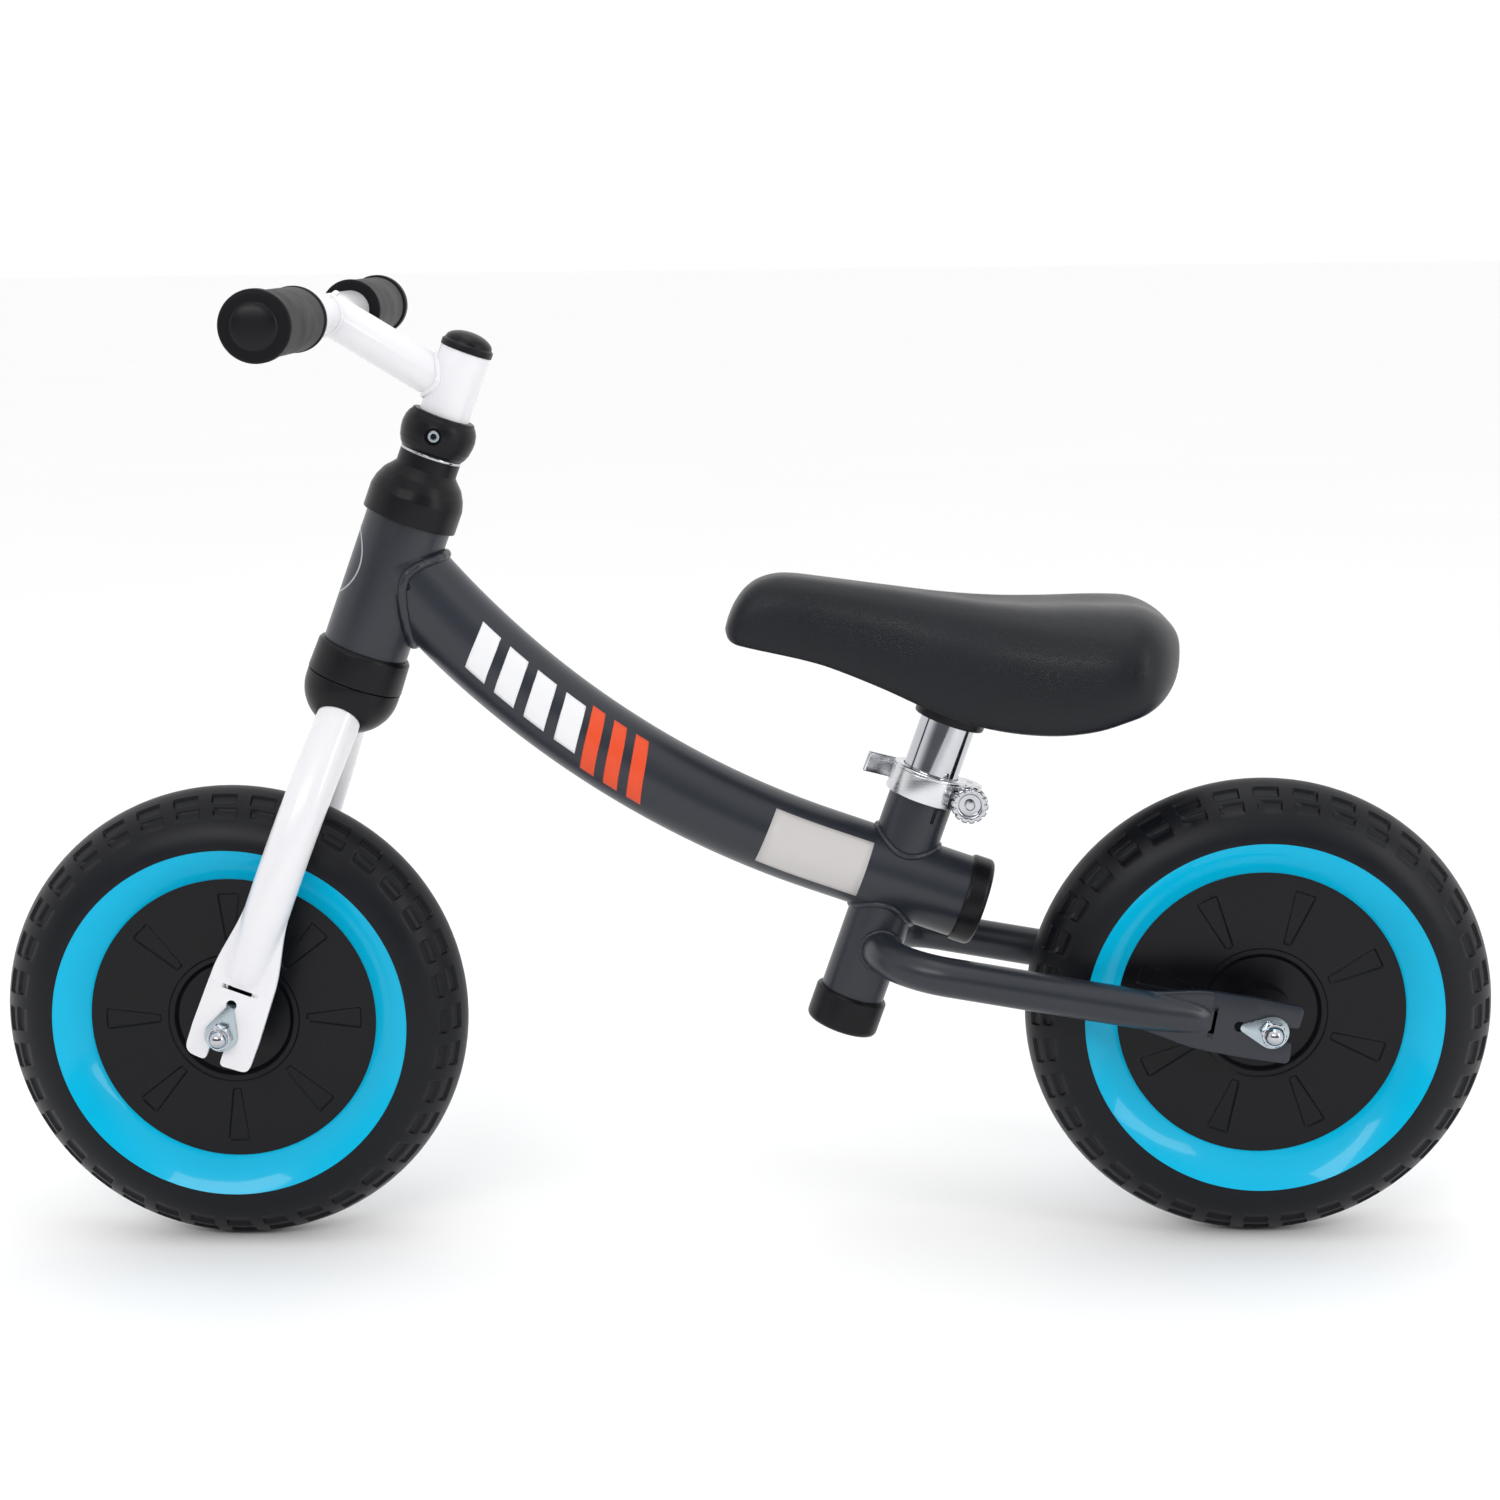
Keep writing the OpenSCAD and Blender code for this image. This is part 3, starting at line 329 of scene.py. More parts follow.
def noise_node(nodes, links, scale, detail=4.0, stretch=None, roughness=0.55):
    place = nodes.new("ShaderNodeTexCoord")
    noise = nodes.new("ShaderNodeTexNoise")
    noise.inputs["Scale"].default_value = scale
    noise.inputs["Detail"].default_value = detail
    noise.inputs["Roughness"].default_value = roughness
    if stretch:
        mapping = nodes.new("ShaderNodeMapping")
        mapping.inputs["Scale"].default_value = stretch
        links.new(place.outputs["Object"], mapping.inputs["Vector"])
        links.new(mapping.outputs["Vector"], noise.inputs["Vector"])
    else:
        links.new(place.outputs["Object"], noise.inputs["Vector"])
    return noise


def ramp_between(nodes, links, source, low, high, start=0.3, end=0.7):
    ramp = nodes.new("ShaderNodeValToRGB")
    ramp.color_ramp.elements[0].position = start
    ramp.color_ramp.elements[1].position = end
    ramp.color_ramp.elements[0].color = (*low, 1)
    ramp.color_ramp.elements[1].color = (*high, 1)
    links.new(source, ramp.inputs["Fac"])
    return ramp


def vary_roughness(nodes, links, shader, source, low, high):
    spread = nodes.new("ShaderNodeMapRange")
    spread.inputs["From Min"].default_value = 0.3
    spread.inputs["From Max"].default_value = 0.7
    spread.inputs["To Min"].default_value = low
    spread.inputs["To Max"].default_value = high
    links.new(source, spread.inputs["Value"])
    links.new(spread.outputs["Result"], shader.inputs["Roughness"])


def add_bump(nodes, links, shader, source, strength, distance):
    bump = nodes.new("ShaderNodeBump")
    bump.inputs["Strength"].default_value = strength
    bump.inputs["Distance"].default_value = distance
    links.new(source, bump.inputs["Height"])
    links.new(bump.outputs["Normal"], shader.inputs["Normal"])
    return bump


def shade(colour, factor):
    return tuple(min(1.0, c * factor) for c in colour)


def paint(name, colour, rough, coat, coat_rough, grain=900.0, bump=0.06, spread=0.05, shine=0.5):
    """Sprayed finish: faint orange peel under a clear coat, with small changes of tone."""
    made, nodes, links, shader = material(name)
    tone = noise_node(nodes, links, 9.0, 3.0)
    ramp = ramp_between(nodes, links, tone.outputs["Fac"], shade(colour, 1 - spread), shade(colour, 1 + spread))
    links.new(ramp.outputs["Color"], shader.inputs["Base Color"])
    peel = noise_node(nodes, links, grain, 2.0)
    add_bump(nodes, links, shader, peel.outputs["Fac"], bump, 0.0002)
    vary_roughness(nodes, links, shader, tone.outputs["Fac"], rough * 0.92, rough * 1.08)
    shader.inputs["Specular IOR Level"].default_value = shine
    shader.inputs["Coat Weight"].default_value = coat
    shader.inputs["Coat Roughness"].default_value = coat_rough
    return made


def plastic(name, colour, rough, grain, bump, spread=0.12, tone_scale=60.0, shine=0.3):
    """Moulded plastic or rubber: a fine spark-eroded grain, a little paler where handled."""
    made, nodes, links, shader = material(name)
    tone = noise_node(nodes, links, tone_scale, 5.0)
    ramp = ramp_between(nodes, links, tone.outputs["Fac"], shade(colour, 1 - spread), shade(colour, 1 + spread))
    links.new(ramp.outputs["Color"], shader.inputs["Base Color"])
    fine = noise_node(nodes, links, grain, 6.0, roughness=0.7)
    add_bump(nodes, links, shader, fine.outputs["Fac"], bump, 0.0003)
    vary_roughness(nodes, links, shader, tone.outputs["Fac"], rough * 0.9, min(1.0, rough * 1.1))
    shader.inputs["Specular IOR Level"].default_value = shine
    return made


def metal(name, colour, rough_low, rough_high, stretch=None, scale=60.0, bump=0.05):
    """Bare or plated metal with fine wear; stretch draws it out into brushing."""
    made, nodes, links, shader = material(name)
    shader.inputs["Metallic"].default_value = 1.0
    wear = noise_node(nodes, links, scale, 6.0, stretch)
    ramp = ramp_between(nodes, links, wear.outputs["Fac"], shade(colour, 0.93), shade(colour, 1.03))
    links.new(ramp.outputs["Color"], shader.inputs["Base Color"])
    vary_roughness(nodes, links, shader, wear.outputs["Fac"], rough_low, rough_high)
    add_bump(nodes, links, shader, wear.outputs["Fac"], bump, 0.0001)
    return made


def leather(name, colour):
    """Grained covering: small cells with creases between them."""
    made, nodes, links, shader = material(name)
    place = nodes.new("ShaderNodeTexCoord")
    cells = nodes.new("ShaderNodeTexVoronoi")
    cells.feature = "DISTANCE_TO_EDGE"
    cells.inputs["Scale"].default_value = 900.0
    links.new(place.outputs["Object"], cells.inputs["Vector"])
    edge = nodes.new("ShaderNodeMapRange")
    edge.inputs["From Max"].default_value = 0.12
    links.new(cells.outputs["Distance"], edge.inputs["Value"])
    tone = noise_node(nodes, links, 22.0, 5.0)
    ramp = ramp_between(nodes, links, tone.outputs["Fac"], shade(colour, 0.88), shade(colour, 1.14))
    links.new(ramp.outputs["Color"], shader.inputs["Base Color"])
    add_bump(nodes, links, shader, edge.outputs["Result"], 0.22, 0.0004)
    vary_roughness(nodes, links, shader, tone.outputs["Fac"], 0.32, 0.42)
    shader.inputs["Specular IOR Level"].default_value = 0.27
    return made


SLATE = (0.0135, 0.0165, 0.0245)
FRAME_PAINT = paint("anthracite_paint", SLATE, 0.36, 0.12, 0.2, bump=0.08, shine=0.42)
FORK_PAINT = paint("white_gloss_paint", (0.765, 0.76, 0.785), 0.26, 0.4, 0.08,
                   bump=0.02, spread=0.012, shine=0.4)
TRIM = paint("cyan_gloss", (0.0, 0.45, 0.71), 0.24, 0.22, 0.04, bump=0.01, spread=0.03, shine=0.1)
BLACK = plastic("black_plastic", (0.0045, 0.0045, 0.006), 0.34, 1600.0, 0.12, shine=0.2)
DISC_BLACK = plastic("disc_plastic", (0.0045, 0.0045, 0.006), 0.3, 1400.0, 0.06, shine=0.2)
TYRE = plastic("foam_tyre", (0.0055, 0.006, 0.0085), 0.38, 1100.0, 0.18, 0.1, 35.0, shine=0.2)
GRIP = plastic("grip_rubber", (0.004, 0.004, 0.0055), 0.48, 1300.0, 0.2, shine=0.13)
SADDLE = leather("saddle_covering", (0.0045, 0.0055, 0.0085))
CHROME = metal("chrome", (0.50, 0.51, 0.54), 0.05, 0.12, bump=0.02)
ALLOY = metal("polished_alloy", (0.66, 0.67, 0.69), 0.18, 0.3, (1, 1, 30), 40.0)
STEEL = metal("zinc_steel", (0.42, 0.49, 0.53), 0.2, 0.36)
MARK = paint("white_mark", (0.78, 0.78, 0.80), 0.4, 0.15, 0.2, bump=0.02, spread=0.02)
ORANGE = paint("orange_red_mark", (0.72, 0.07, 0.018), 0.4, 0.1, 0.2, bump=0.02, spread=0.03, shine=0.3)
LABEL = paint("pale_label", (0.53, 0.51, 0.50), 0.45, 0.1, 0.3, bump=0.02, spread=0.03)
OUTLINE = paint("pale_outline", (0.34, 0.37, 0.40), 0.45, 0.1, 0.3, bump=0.02, spread=0.03)

NODE_MATERIAL = {
    "frame_paint": FRAME_PAINT, "fork_paint": FORK_PAINT, "black_plastic": BLACK, "grip_rubber": GRIP,
    "tyre_foam": TYRE, "trim_gloss": TRIM, "bearing_steel": STEEL, "chrome_fittings": CHROME,
    "chrome_post": CHROME, "clamp_alloy": ALLOY, "saddle_skin": SADDLE,
}
for part in frame["record"]["subparts"]:
    node = frame["nodes"][part["node"]]
    for socket in node.material_slots:
        socket.material = NODE_MATERIAL[part["material_slot"]]

# body, slot and material of the kinds of piece that come again and again
FRAME_TUBE = ("frame", "frame_paint", FRAME_PAINT)
FORK_TUBE = ("fork", "fork_paint", FORK_PAINT)
BAR_TUBE = ("bar_set", "fork_paint", FORK_PAINT)
FRAME_BLACK = ("frame", "black_plastic", BLACK)
FORK_BLACK = ("fork", "black_plastic", BLACK)
BAR_BLACK = ("bar_set", "black_plastic", BLACK)

# ---- wheels ----

TYRE_HALF = 29.6
RING_R = TYRE_R - 32.0
RING_IN = RING_R - 19.6
RING_DISH = 13.4
FACE_Y = TYRE_HALF - RING_DISH
HUB_R = 17.0
TREAD_POWER = 1.74
PITCH_COUNT = 36
POCKET_LONG = 15.0
POCKET_DEPTH = 1.5
# lowest and highest side place of each row, and its shift round the tyre
POCKET_ROWS = ((10.0, 16.9, 0.0), (18.3, 22.9, 1.6))


def smooth(x):
    x = min(1.0, max(0.0, x))
    return x * x * (3 - 2 * x)


def tyre_point(t):
    """Radius and side place on the tyre's outline.

    t runs from 0 at one ring over the crown to 1 at the other.
    """
    a = math.pi * t
    c = math.cos(a)
    side = -TYRE_HALF * math.copysign(abs(c) ** (2 / TREAD_POWER), c)
    return RING_R + (TYRE_R - RING_R) * abs(math.sin(a)) ** (2 / TREAD_POWER), side


def outline_t(side):
    """The t at which the outline is at a side place."""
    c = abs(side / TYRE_HALF) ** (TREAD_POWER / 2)
    return math.acos(-math.copysign(c, side)) / math.pi


def tyre_mesh(name):
    edge = 0.9
    stations = set()
    for low, high, _ in POCKET_ROWS:
        for y in (low, low + edge, (low + high) / 2, high - edge, high):
            stations.update((outline_t(y), outline_t(-y)))
    even = [i / 40 for i in range(41)]
    ts = sorted(stations | {t for t in even if all(abs(t - s) > 0.006 for s in stations)})
    pitch = TAU / PITCH_COUNT
    half = POCKET_LONG / 2 / (TYRE_R - 4)
    ramp = 0.8 / TYRE_R
    turns = []
    for i in range(PITCH_COUNT):
        for _, _, shift in POCKET_ROWS:
            c = i * pitch + shift / TYRE_R
            turns += [c - half, c - half + ramp, c, c + half - ramp, c + half]
    even = [TAU * k / 180 for k in range(180)]
    turns = sorted(turns + [b for b in even
                            if all(abs((b - a + math.pi) % TAU - math.pi) > 0.008 for a in turns)])
    bm = bmesh.new()
    rings = []
    for a in turns:
        ring = []
        for t in ts:
            r, y = tyre_point(t)
            depth = 0.0
            for low, high, shift in POCKET_ROWS:
                across = min(abs(y) - low, high - abs(y)) / edge
                off = (a - shift / TYRE_R + pitch / 2) % pitch - pitch / 2
                length = (half - abs(off)) / ramp
                depth = max(depth, POCKET_DEPTH * smooth(across) * smooth(length))
            r2, y2 = tyre_point(min(1.0, t + 0.004))
            r1, y1 = tyre_point(max(0.0, t - 0.004))
            normal = Vector((y2 - y1, r1 - r2)).normalized()
            ring.append((r - depth * normal.x, y - depth * normal.y))
        # the tyre goes on under the trim rings
        ring += [(RING_R, TYRE_HALF - 2.0), (RING_R - 9.8, FACE_Y + 3),
                 (RING_R - 9.8, -FACE_Y - 3), (RING_R, 2.0 - TYRE_HALF)]
        c, s = math.cos(a), math.sin(a)
        rings.append([(r * c, y, r * s) for r, y in ring])
    rings.append(rings[0])
    skin(bm, rings, Matrix.Identity(4), caps=False)
    bmesh.ops.remove_doubles(bm, verts=bm.verts, dist=1e-7)
    return finish_mesh(bm, name, 50.0, weld=False)


def ring_profile():
    """Dished glossy ring: rounded inner lip, slightly crowned face."""
    steps = 18
    face = []
    for i in range(steps + 1):
        t = i / steps
        crown = 1.4 * math.sin(math.pi * t) * (1 - 0.25 * t)
        face.append((RING_IN + (RING_R - RING_IN) * t, FACE_Y + RING_DISH * t + crown))
    x, y = face[-1]
    lip = [(RING_IN + 0.3, FACE_Y - 1.6), (RING_IN - 0.15, FACE_Y - 0.7), (RING_IN + 0.1, FACE_Y - 0.15)]
    return lip + face[1:-1] + [(x - 0.15, y - 0.1), (x, y - 0.5), (x, y - 2.0), (RING_IN + 1.5, FACE_Y - 2.0)]


RECESS_R = 34.0
WEDGES = 8


def disc_mesh(name):
    """Disc face on both sides, with a stepped recess round the hub."""
    low, high = FACE_Y - 2.4, FACE_Y - 0.2
    outline = rounded([(HUB_R, low - 5), (RECESS_R + 1, low - 5), (RECESS_R + 3, low), (RING_IN, low),
                       (RING_IN, high), (RECESS_R + 4.2, high), (RECESS_R + 3.4, high - 0.7),
                       (RECESS_R + 0.6, high - 0.7), (RECESS_R - 1.6, FACE_Y - 3.2), (HUB_R, FACE_Y - 3.2)],
                      [0, 0, 0, 0, 0, 0.5, 0.3, 0.9, 0.9, 0], 4)
    made = bmesh.new()
    for side in (1, -1):
        lathe_into(made, outline, wheel_matrix(Vector(), side), 144)
    bmesh.ops.remove_doubles(made, verts=made.verts, dist=1e-7)
    return finish_mesh(made, name, 30.0, weld=False)


def wedge_outline(grow):
    start, end = 42.0 - grow, 74.0 + grow
    narrow, wide = 2.5 + grow, 6.5 + grow
    return rounded([(start, -narrow), (end, -wide), (end, wide), (start, narrow)], 1.2, 4)


def add_wheel(prefix, body, centre, turn):
    """turn: how far the wedges are turned round the axle."""
    tyre = new_object(prefix + "_tyre_tread", tyre_mesh(prefix), body, "tyre_foam", TYRE,
                      [prefix + "_tyre"])
    tyre.data.transform(Matrix.Translation(centre * MM))
    bm = bmesh.new()
    for side in (1, -1):
        lathe_into(bm, ring_profile(), wheel_matrix(centre, side), 192)
    new_object(prefix + "_gloss_rings", clean(bm, prefix, 60.0), body, "trim_gloss", TRIM,
               [prefix + "_trim_rings"])
    disc = new_object(prefix + "_disc_faces", disc_mesh(prefix), body, "black_plastic", DISC_BLACK,
                      [prefix + "_wheel_discs"])
    disc.data.transform(Matrix.Translation(centre * MM))

    def wedges(bm):
        for side in (1, -1):
            for i in range(WEDGES):
                spin = Matrix.Rotation(side * (turn + TAU * i / WEDGES), 4, "Z")
                levels = ((FACE_Y - 1.35, -0.9), (FACE_Y - 0.2, 0.0), (FACE_Y + 0.95, 0.9))
                rings = [[(x, y, z) for x, y in wedge_outline(grow)] for z, grow in levels]
                skin(bm, rings, wheel_matrix(centre, side) @ spin)
    cut(disc, solid_mesh(wedges))


add_wheel("front", "front_wheel", FRONT_AXLE, 0.0)
add_wheel("rear", "rear_wheel", REAR_AXLE, math.radians(26))

# ---- axle fittings ----


def nut_into(bm, matrix, spin):
    """Hexagon with turned-down corners and a domed cap."""
    af, high, dome_h, dome_r = 13.0, 6.5, 6.0, 5.5
    corner = af / math.sqrt(3)
    rings = []
    segments = 96
    for z, limit in ((0, corner - 0.6), (0.45, corner), (high - 0.9, corner), (high, corner - 1.1)):
        ring = []
        for k in range(segments):
            a = TAU * k / segments
            hexagon = (af / 2) / math.cos((a + math.pi / 6) % (math.pi / 3) - math.pi / 6)
            r = min(hexagon, limit)
            ring.append((r * math.cos(a + spin), r * math.sin(a + spin), z))
        rings.append(ring)
    # the dome starts with a thin step on the hexagon
    for k in range(1, 11):
        t = math.pi / 2 * k / 10
        if k == 1:
            rings.append(circle(dome_r + 0.25, high, segments, spin))
        rings.append(circle(max(dome_r * math.cos(t), 0.02), high + dome_h * math.sin(t), segments, spin))
    skin(bm, rings, matrix)


def washer_outline():
    """Pear shape: a round washer that runs out into a small round tail."""
    big, small, far = 9.3, 2.6, 15.6
    half = math.acos((big - small) / far)
    return arc(big, half, TAU - half, 40) + arc(small, -half, half, 12, (far, 0.0))


def add_axle_fittings(prefix, body, centre, half_w, tab_angle):
    """tab_angle: direction of the washers' tails, up from straight ahead."""
    nuts, washers = bmesh.new(), bmesh.new()
    for side in (1, -1):
        base = Matrix.Translation(Vector((0, side * (half_w + PLATE_T), 0))) @ wheel_matrix(centre, side)
        spin = Matrix.Rotation(-side * tab_angle, 4, "Z")
        extrude_outline(washers, washer_outline(), base @ spin, 0.02, 1.5, 0.25, 2)
        nut_into(nuts, Matrix.Translation(Vector((0, side * 1.5, 0))) @ base, 0.3)
    new_object(prefix + "_domed_nuts", clean(nuts, prefix, 30.0), body, "chrome_fittings", CHROME,
               [prefix + "_axle_nuts"])
    new_object(prefix + "_pear_washers", clean(washers, prefix, 30.0), body, "chrome_fittings", STEEL,
               [prefix + "_tab_washers"])


FRONT_HUB_W, REAR_HUB_W = 92.0, 100.0
STAY_SLOPE = math.radians(10)
add_axle_fittings("front", "fork", FRONT_AXLE, FRONT_HUB_W / 2, math.pi / 2 + HEAD_LEAN)
add_axle_fittings("rear", "frame", REAR_AXLE, REAR_HUB_W / 2, STAY_SLOPE)

# ---- frame tubes ----


def pipe_outline(outer_r, inner_r, low, high, edge=0.5):
    return rounded([(inner_r, low), (outer_r, low), (outer_r, high), (inner_r, high)], [0, edge, edge, 0], 3)


lathe("head_tube_shell", pipe_outline(HEAD_D / 2, HEAD_D / 2 - TUBE_WALL, HEAD_LOW, HEAD_HIGH), STEER,
      *FRAME_TUBE, ["head_tube"])
# the main tube's direction where it is straight
MAIN_AHEAD = Vector((math.cos(SEAT_LEAN), 0, math.sin(SEAT_LEAN)))


def main_path():
    """Centre line of the main tube: straight to the rear, then one arc up to the head tube."""
    start = JOINT + MAIN_AHEAD * MAIN_STRAIGHT
    meet = STEER @ Vector((0, 0, MEET_S))
    chord = meet - start
    rise = chord.z * math.cos(SEAT_LEAN) - chord.x * math.sin(SEAT_LEAN)
    bend_r = chord.length_squared / (2 * rise)
    centre = start + Vector((-math.sin(SEAT_LEAN), 0, math.cos(SEAT_LEAN))) * bend_r
    turn = 2 * math.asin(chord.length / 2 / bend_r)
    tail = JOINT - MAIN_AHEAD * (MAIN_TAIL - 0.3)
    path = [tail, tail.lerp(start, 0.5), start]
    steps = 40
    for k in range(1, steps + 1):
        a = SEAT_LEAN - math.pi / 2 + turn * k / steps
        path.append(centre + Vector((math.cos(a), 0, math.sin(a))) * bend_r)
    return path


MAIN_PATH = main_path()
bm = bmesh.new()
skin(bm, sweep_rings(MAIN_PATH, MAIN_D / 2, 96), Matrix.Identity(4))
main_tube = new_object("main_tube_shell", finish_mesh(bm, "main_tube_shell"), *FRAME_TUBE, ["main_tube"])
bore(main_tube, rod(HEAD_D / 2 - 0.6, HEAD_LOW - 30, HEAD_HIGH + 30), STEER, 96)
# small vent hole beside the weld at the head tube, on the left
VENT = STEER @ wheel_matrix(Vector((-13, 0, MEET_S - 8.6)))
bore(main_tube, [(0, 21.8), (1.9, 21.8), (2.4, 24.6), (0, 24.6)], VENT, 32)

seat_tube = lathe("seat_tube_shell", pipe_outline(SEAT_D / 2, POST_D / 2 + 0.05, -SEAT_DOWN_LEN, SEAT_UP_LEN),
                  SEAT, *FRAME_TUBE, ["seat_tube"])


def slit(bm):
    """Slit in the seat tube's upper end, below the clamp."""
    turn = math.radians(28)
    outline = rounded([(-1.15, 37.2), (1.15, 37.2), (1.15, 70), (-1.15, 70)], [1.1, 1.1, 0, 0], 4)
    m = SEAT @ Matrix.Rotation(turn, 4, "Z") @ Matrix.Rotation(math.pi / 2, 4, "X")
    extrude_outline(bm, outline, m, -30, -10)


cut(seat_tube, solid_mesh(slit))

# the stays' centre line crosses the seat tube's axis here
LEAN_T, SLOPE_T = math.tan(SEAT_LEAN), math.tan(STAY_SLOPE)
STAY_Z = (TYRE_R + (JOINT.x + JOINT.z * LEAN_T - REAR_AXLE.x) * SLOPE_T) / (1 + LEAN_T * SLOPE_T)
STAY_X = JOINT.x - (STAY_Z - JOINT.z) * LEAN_T
STAY = Matrix.Translation((STAY_X, 0, STAY_Z)) @ Matrix.Rotation(-STAY_SLOPE, 4, "Y")
STAY_Y = 52.5
STAY_REACH = (STAY_X - REAR_AXLE.x) / math.cos(STAY_SLOPE)


def crimped_ring(centre, wide, hump_w, hump_h, squareness, ahead, across, count=72):
    """Ring of a crimped tube: a flat plate with the rest of the round tube standing on both faces."""
    ring = []
    for k in range(count):
        a = TAU * k / count
        c, s = math.cos(a), math.sin(a)
        v = wide * math.copysign(abs(c) ** (1 / (1 + squareness)), c)
        flat = PLATE_T / 2 * min(1.0, squareness * 3) * max(0.0, 1 - abs(v / wide) ** 14) ** (1 / 5)
        hump = hump_h * math.sqrt(max(0.0, 1 - (v / hump_w) ** 2)) if hump_w > 0.01 else 0.0
        face = s if abs(s) > 1e-9 else 1.0
        ring.append(centre + ahead * v + across * math.copysign(max(flat, hump), face))
    return ring


def crimped_rings(at, round_r, flat_half, ahead, across, steps=22):
    """Rings from the round tube (at(0)) to the plate (at(1)); the hump ends in a rounded nose."""
    rings = []
    for k in range(1, steps + 1):
        t = k / steps
        wide = round_r + (flat_half - round_r) * smooth(t * 1.1)
        fade = max(0.0, (t - 0.25) / 0.7)
        nose = math.sqrt(max(0.0, 1 - min(1.0, fade) ** 2.4))
        hump_h = hump_w = 0.0
        if nose > 0:
            hump_h = PLATE_T / 2 + (round_r - PLATE_T / 2) * nose ** 1.2 * (1 - 0.25 * smooth(t * 1.5))
            hump_w = round_r * (0.35 + 0.65 * nose) * (1 - 0.12 * smooth(t * 2))
        rings.append(crimped_ring(at(t), wide, hump_w, hump_h, smooth(t * 2) * 0.8, ahead, across))
    return rings


def round_ring(centre, r, ahead, across):
    return crimped_ring(centre, r, r, r, 0.0, ahead, across)


def stay_rings(side):
    """Out of the seat tube, round the elbow and straight back to the crimped end."""
    elbow = 38.0
    start = 6.0
    straight = STAY_Y - elbow
    path = [Vector((-start, 0, 0)), Vector((-start, straight * 0.9, 0))]
    path += [Vector((x, y, 0)) for x, y in arc(elbow, 0, math.pi / 2, 18, (-start - elbow, straight))]
    end_round, end_flat = STAY_REACH - 76, STAY_REACH - 32
    path += [Vector((-(start + elbow + end_round) / 2, STAY_Y, 0)), Vector((-end_round, STAY_Y, 0))]
    rings = []
    up, back = Vector((0, 0, 1)), Vector((-1, 0, 0))
    for i, p in enumerate(path):
        along = Y_AXIS if i == 0 else back if i >= len(path) - 2 else direction_at(path, i)
        rings.append(round_ring(p, STAY_D / 2, up, up.cross(along)))
    flat_part = Vector((-end_round, STAY_Y, 0)), Vector((-end_flat, STAY_Y, 0))
    rings += crimped_rings(lambda t: flat_part[0].lerp(flat_part[1], t), STAY_D / 2, 17.0, up, up.cross(back))
    return on_side(rings, side)


def slot_arc(at, middle, half, steps=12):
    """Round bottom of a slot that opens towards larger x, from its upper to its lower side."""
    return arc(half, math.pi / 2, math.pi * 1.5, steps, (at, middle))[1:-1]


def add_end_plate(bm, matrix, upper, lower, slot_middle, slot_half=4.1):
    """Slotted plate; upper and lower are (x, y, corner radius) points, out to the slot's bottom."""
    def side(points):
        return rounded([p[:2] for p in points], [p[2] for p in points], 6, closed=False)

    outline = side(upper) + slot_arc(0, slot_middle, slot_half) + side(lower)
    extrude_outline(bm, outline, matrix, -PLATE_T / 2, PLATE_T / 2, 0.5, 2)


def drill(piece, plate, y):
    """The small round hole above the slot."""
    bore(piece, rod(3, -PLATE_T, PLATE_T), plate @ Matrix.Translation((-18.6, y, 0)), 40)


def add_stay(name, side):
    bm = bmesh.new()
    skin(bm, stay_rings(side), STAY)
    piece = new_object(name + "_shell", finish_mesh(bm, name, 40.0), *FRAME_TUBE, [name])
    # x of the plate's outline points to the rear and y points up
    plate = STAY @ Matrix(((-1, 0, 0, -STAY_REACH), (0, 0, 1, side * STAY_Y), (0, 1, 0, 0), (0, 0, 0, 1)))
    bm = bmesh.new()
    add_end_plate(bm, plate, [(-36, 17.0, 0), (-12, 17.4, 12), (15.5, 16.6, 3.5), (14.5, 4.1, 2.5), (0, 4.1, 0)],
                  [(0, -4.1, 0), (12.0, -4.1, 2.5), (13.0, -16.8, 3.5), (-12, -17.4, 12), (-36, -17.0, 0)], 0)
    end = new_object(name + "_dropout", finish_mesh(bm, name, 40.0), *FRAME_TUBE)
    drill(end, plate, 0)


add_stay("left_stay", 1)
add_stay("right_stay", -1)

# ---- fork ----

LEG_Y = 48.5
LEG_ANGLE = math.radians(30)
LEG_BEND = 170.0
CROWN_COVER_LOW = TYRE_R + 44.0
LEG_TOP = HEAD_LOW - 5.33


def leg_rings(side):
    """Out of the crown at a slant, round the bend and down to the crimped end."""
    slant = (LEG_Y - LEG_BEND * (1 - math.cos(LEG_ANGLE))) / math.sin(LEG_ANGLE)
    bend_s = LEG_TOP - slant * math.cos(LEG_ANGLE) - LEG_BEND * math.sin(LEG_ANGLE)
    out = Vector((0, math.sin(LEG_ANGLE), -math.cos(LEG_ANGLE)))
    top = Vector((0, 0, LEG_TOP))
    path = [top + out * 12, top + out * slant]
    bend = arc(LEG_BEND, LEG_ANGLE, 0, 16, (LEG_Y - LEG_BEND, bend_s))
    path += [Vector((0, y, z)) for y, z in bend[1:]]
    ahead = Vector((1, 0, 0))
    rings = [round_ring(p, LEG_D / 2, ahead, ahead.cross(direction_at(path, i))) for i, p in enumerate(path)]
    flat_part = Vector((0, LEG_Y, 78.0)), Vector((0, LEG_Y, 27.0))
    rings += crimped_rings(lambda t: flat_part[0].lerp(flat_part[1], t), LEG_D / 2, 18.8,
                           ahead, ahead.cross(Vector((0, 0, -1))))
    return on_side(rings, side)


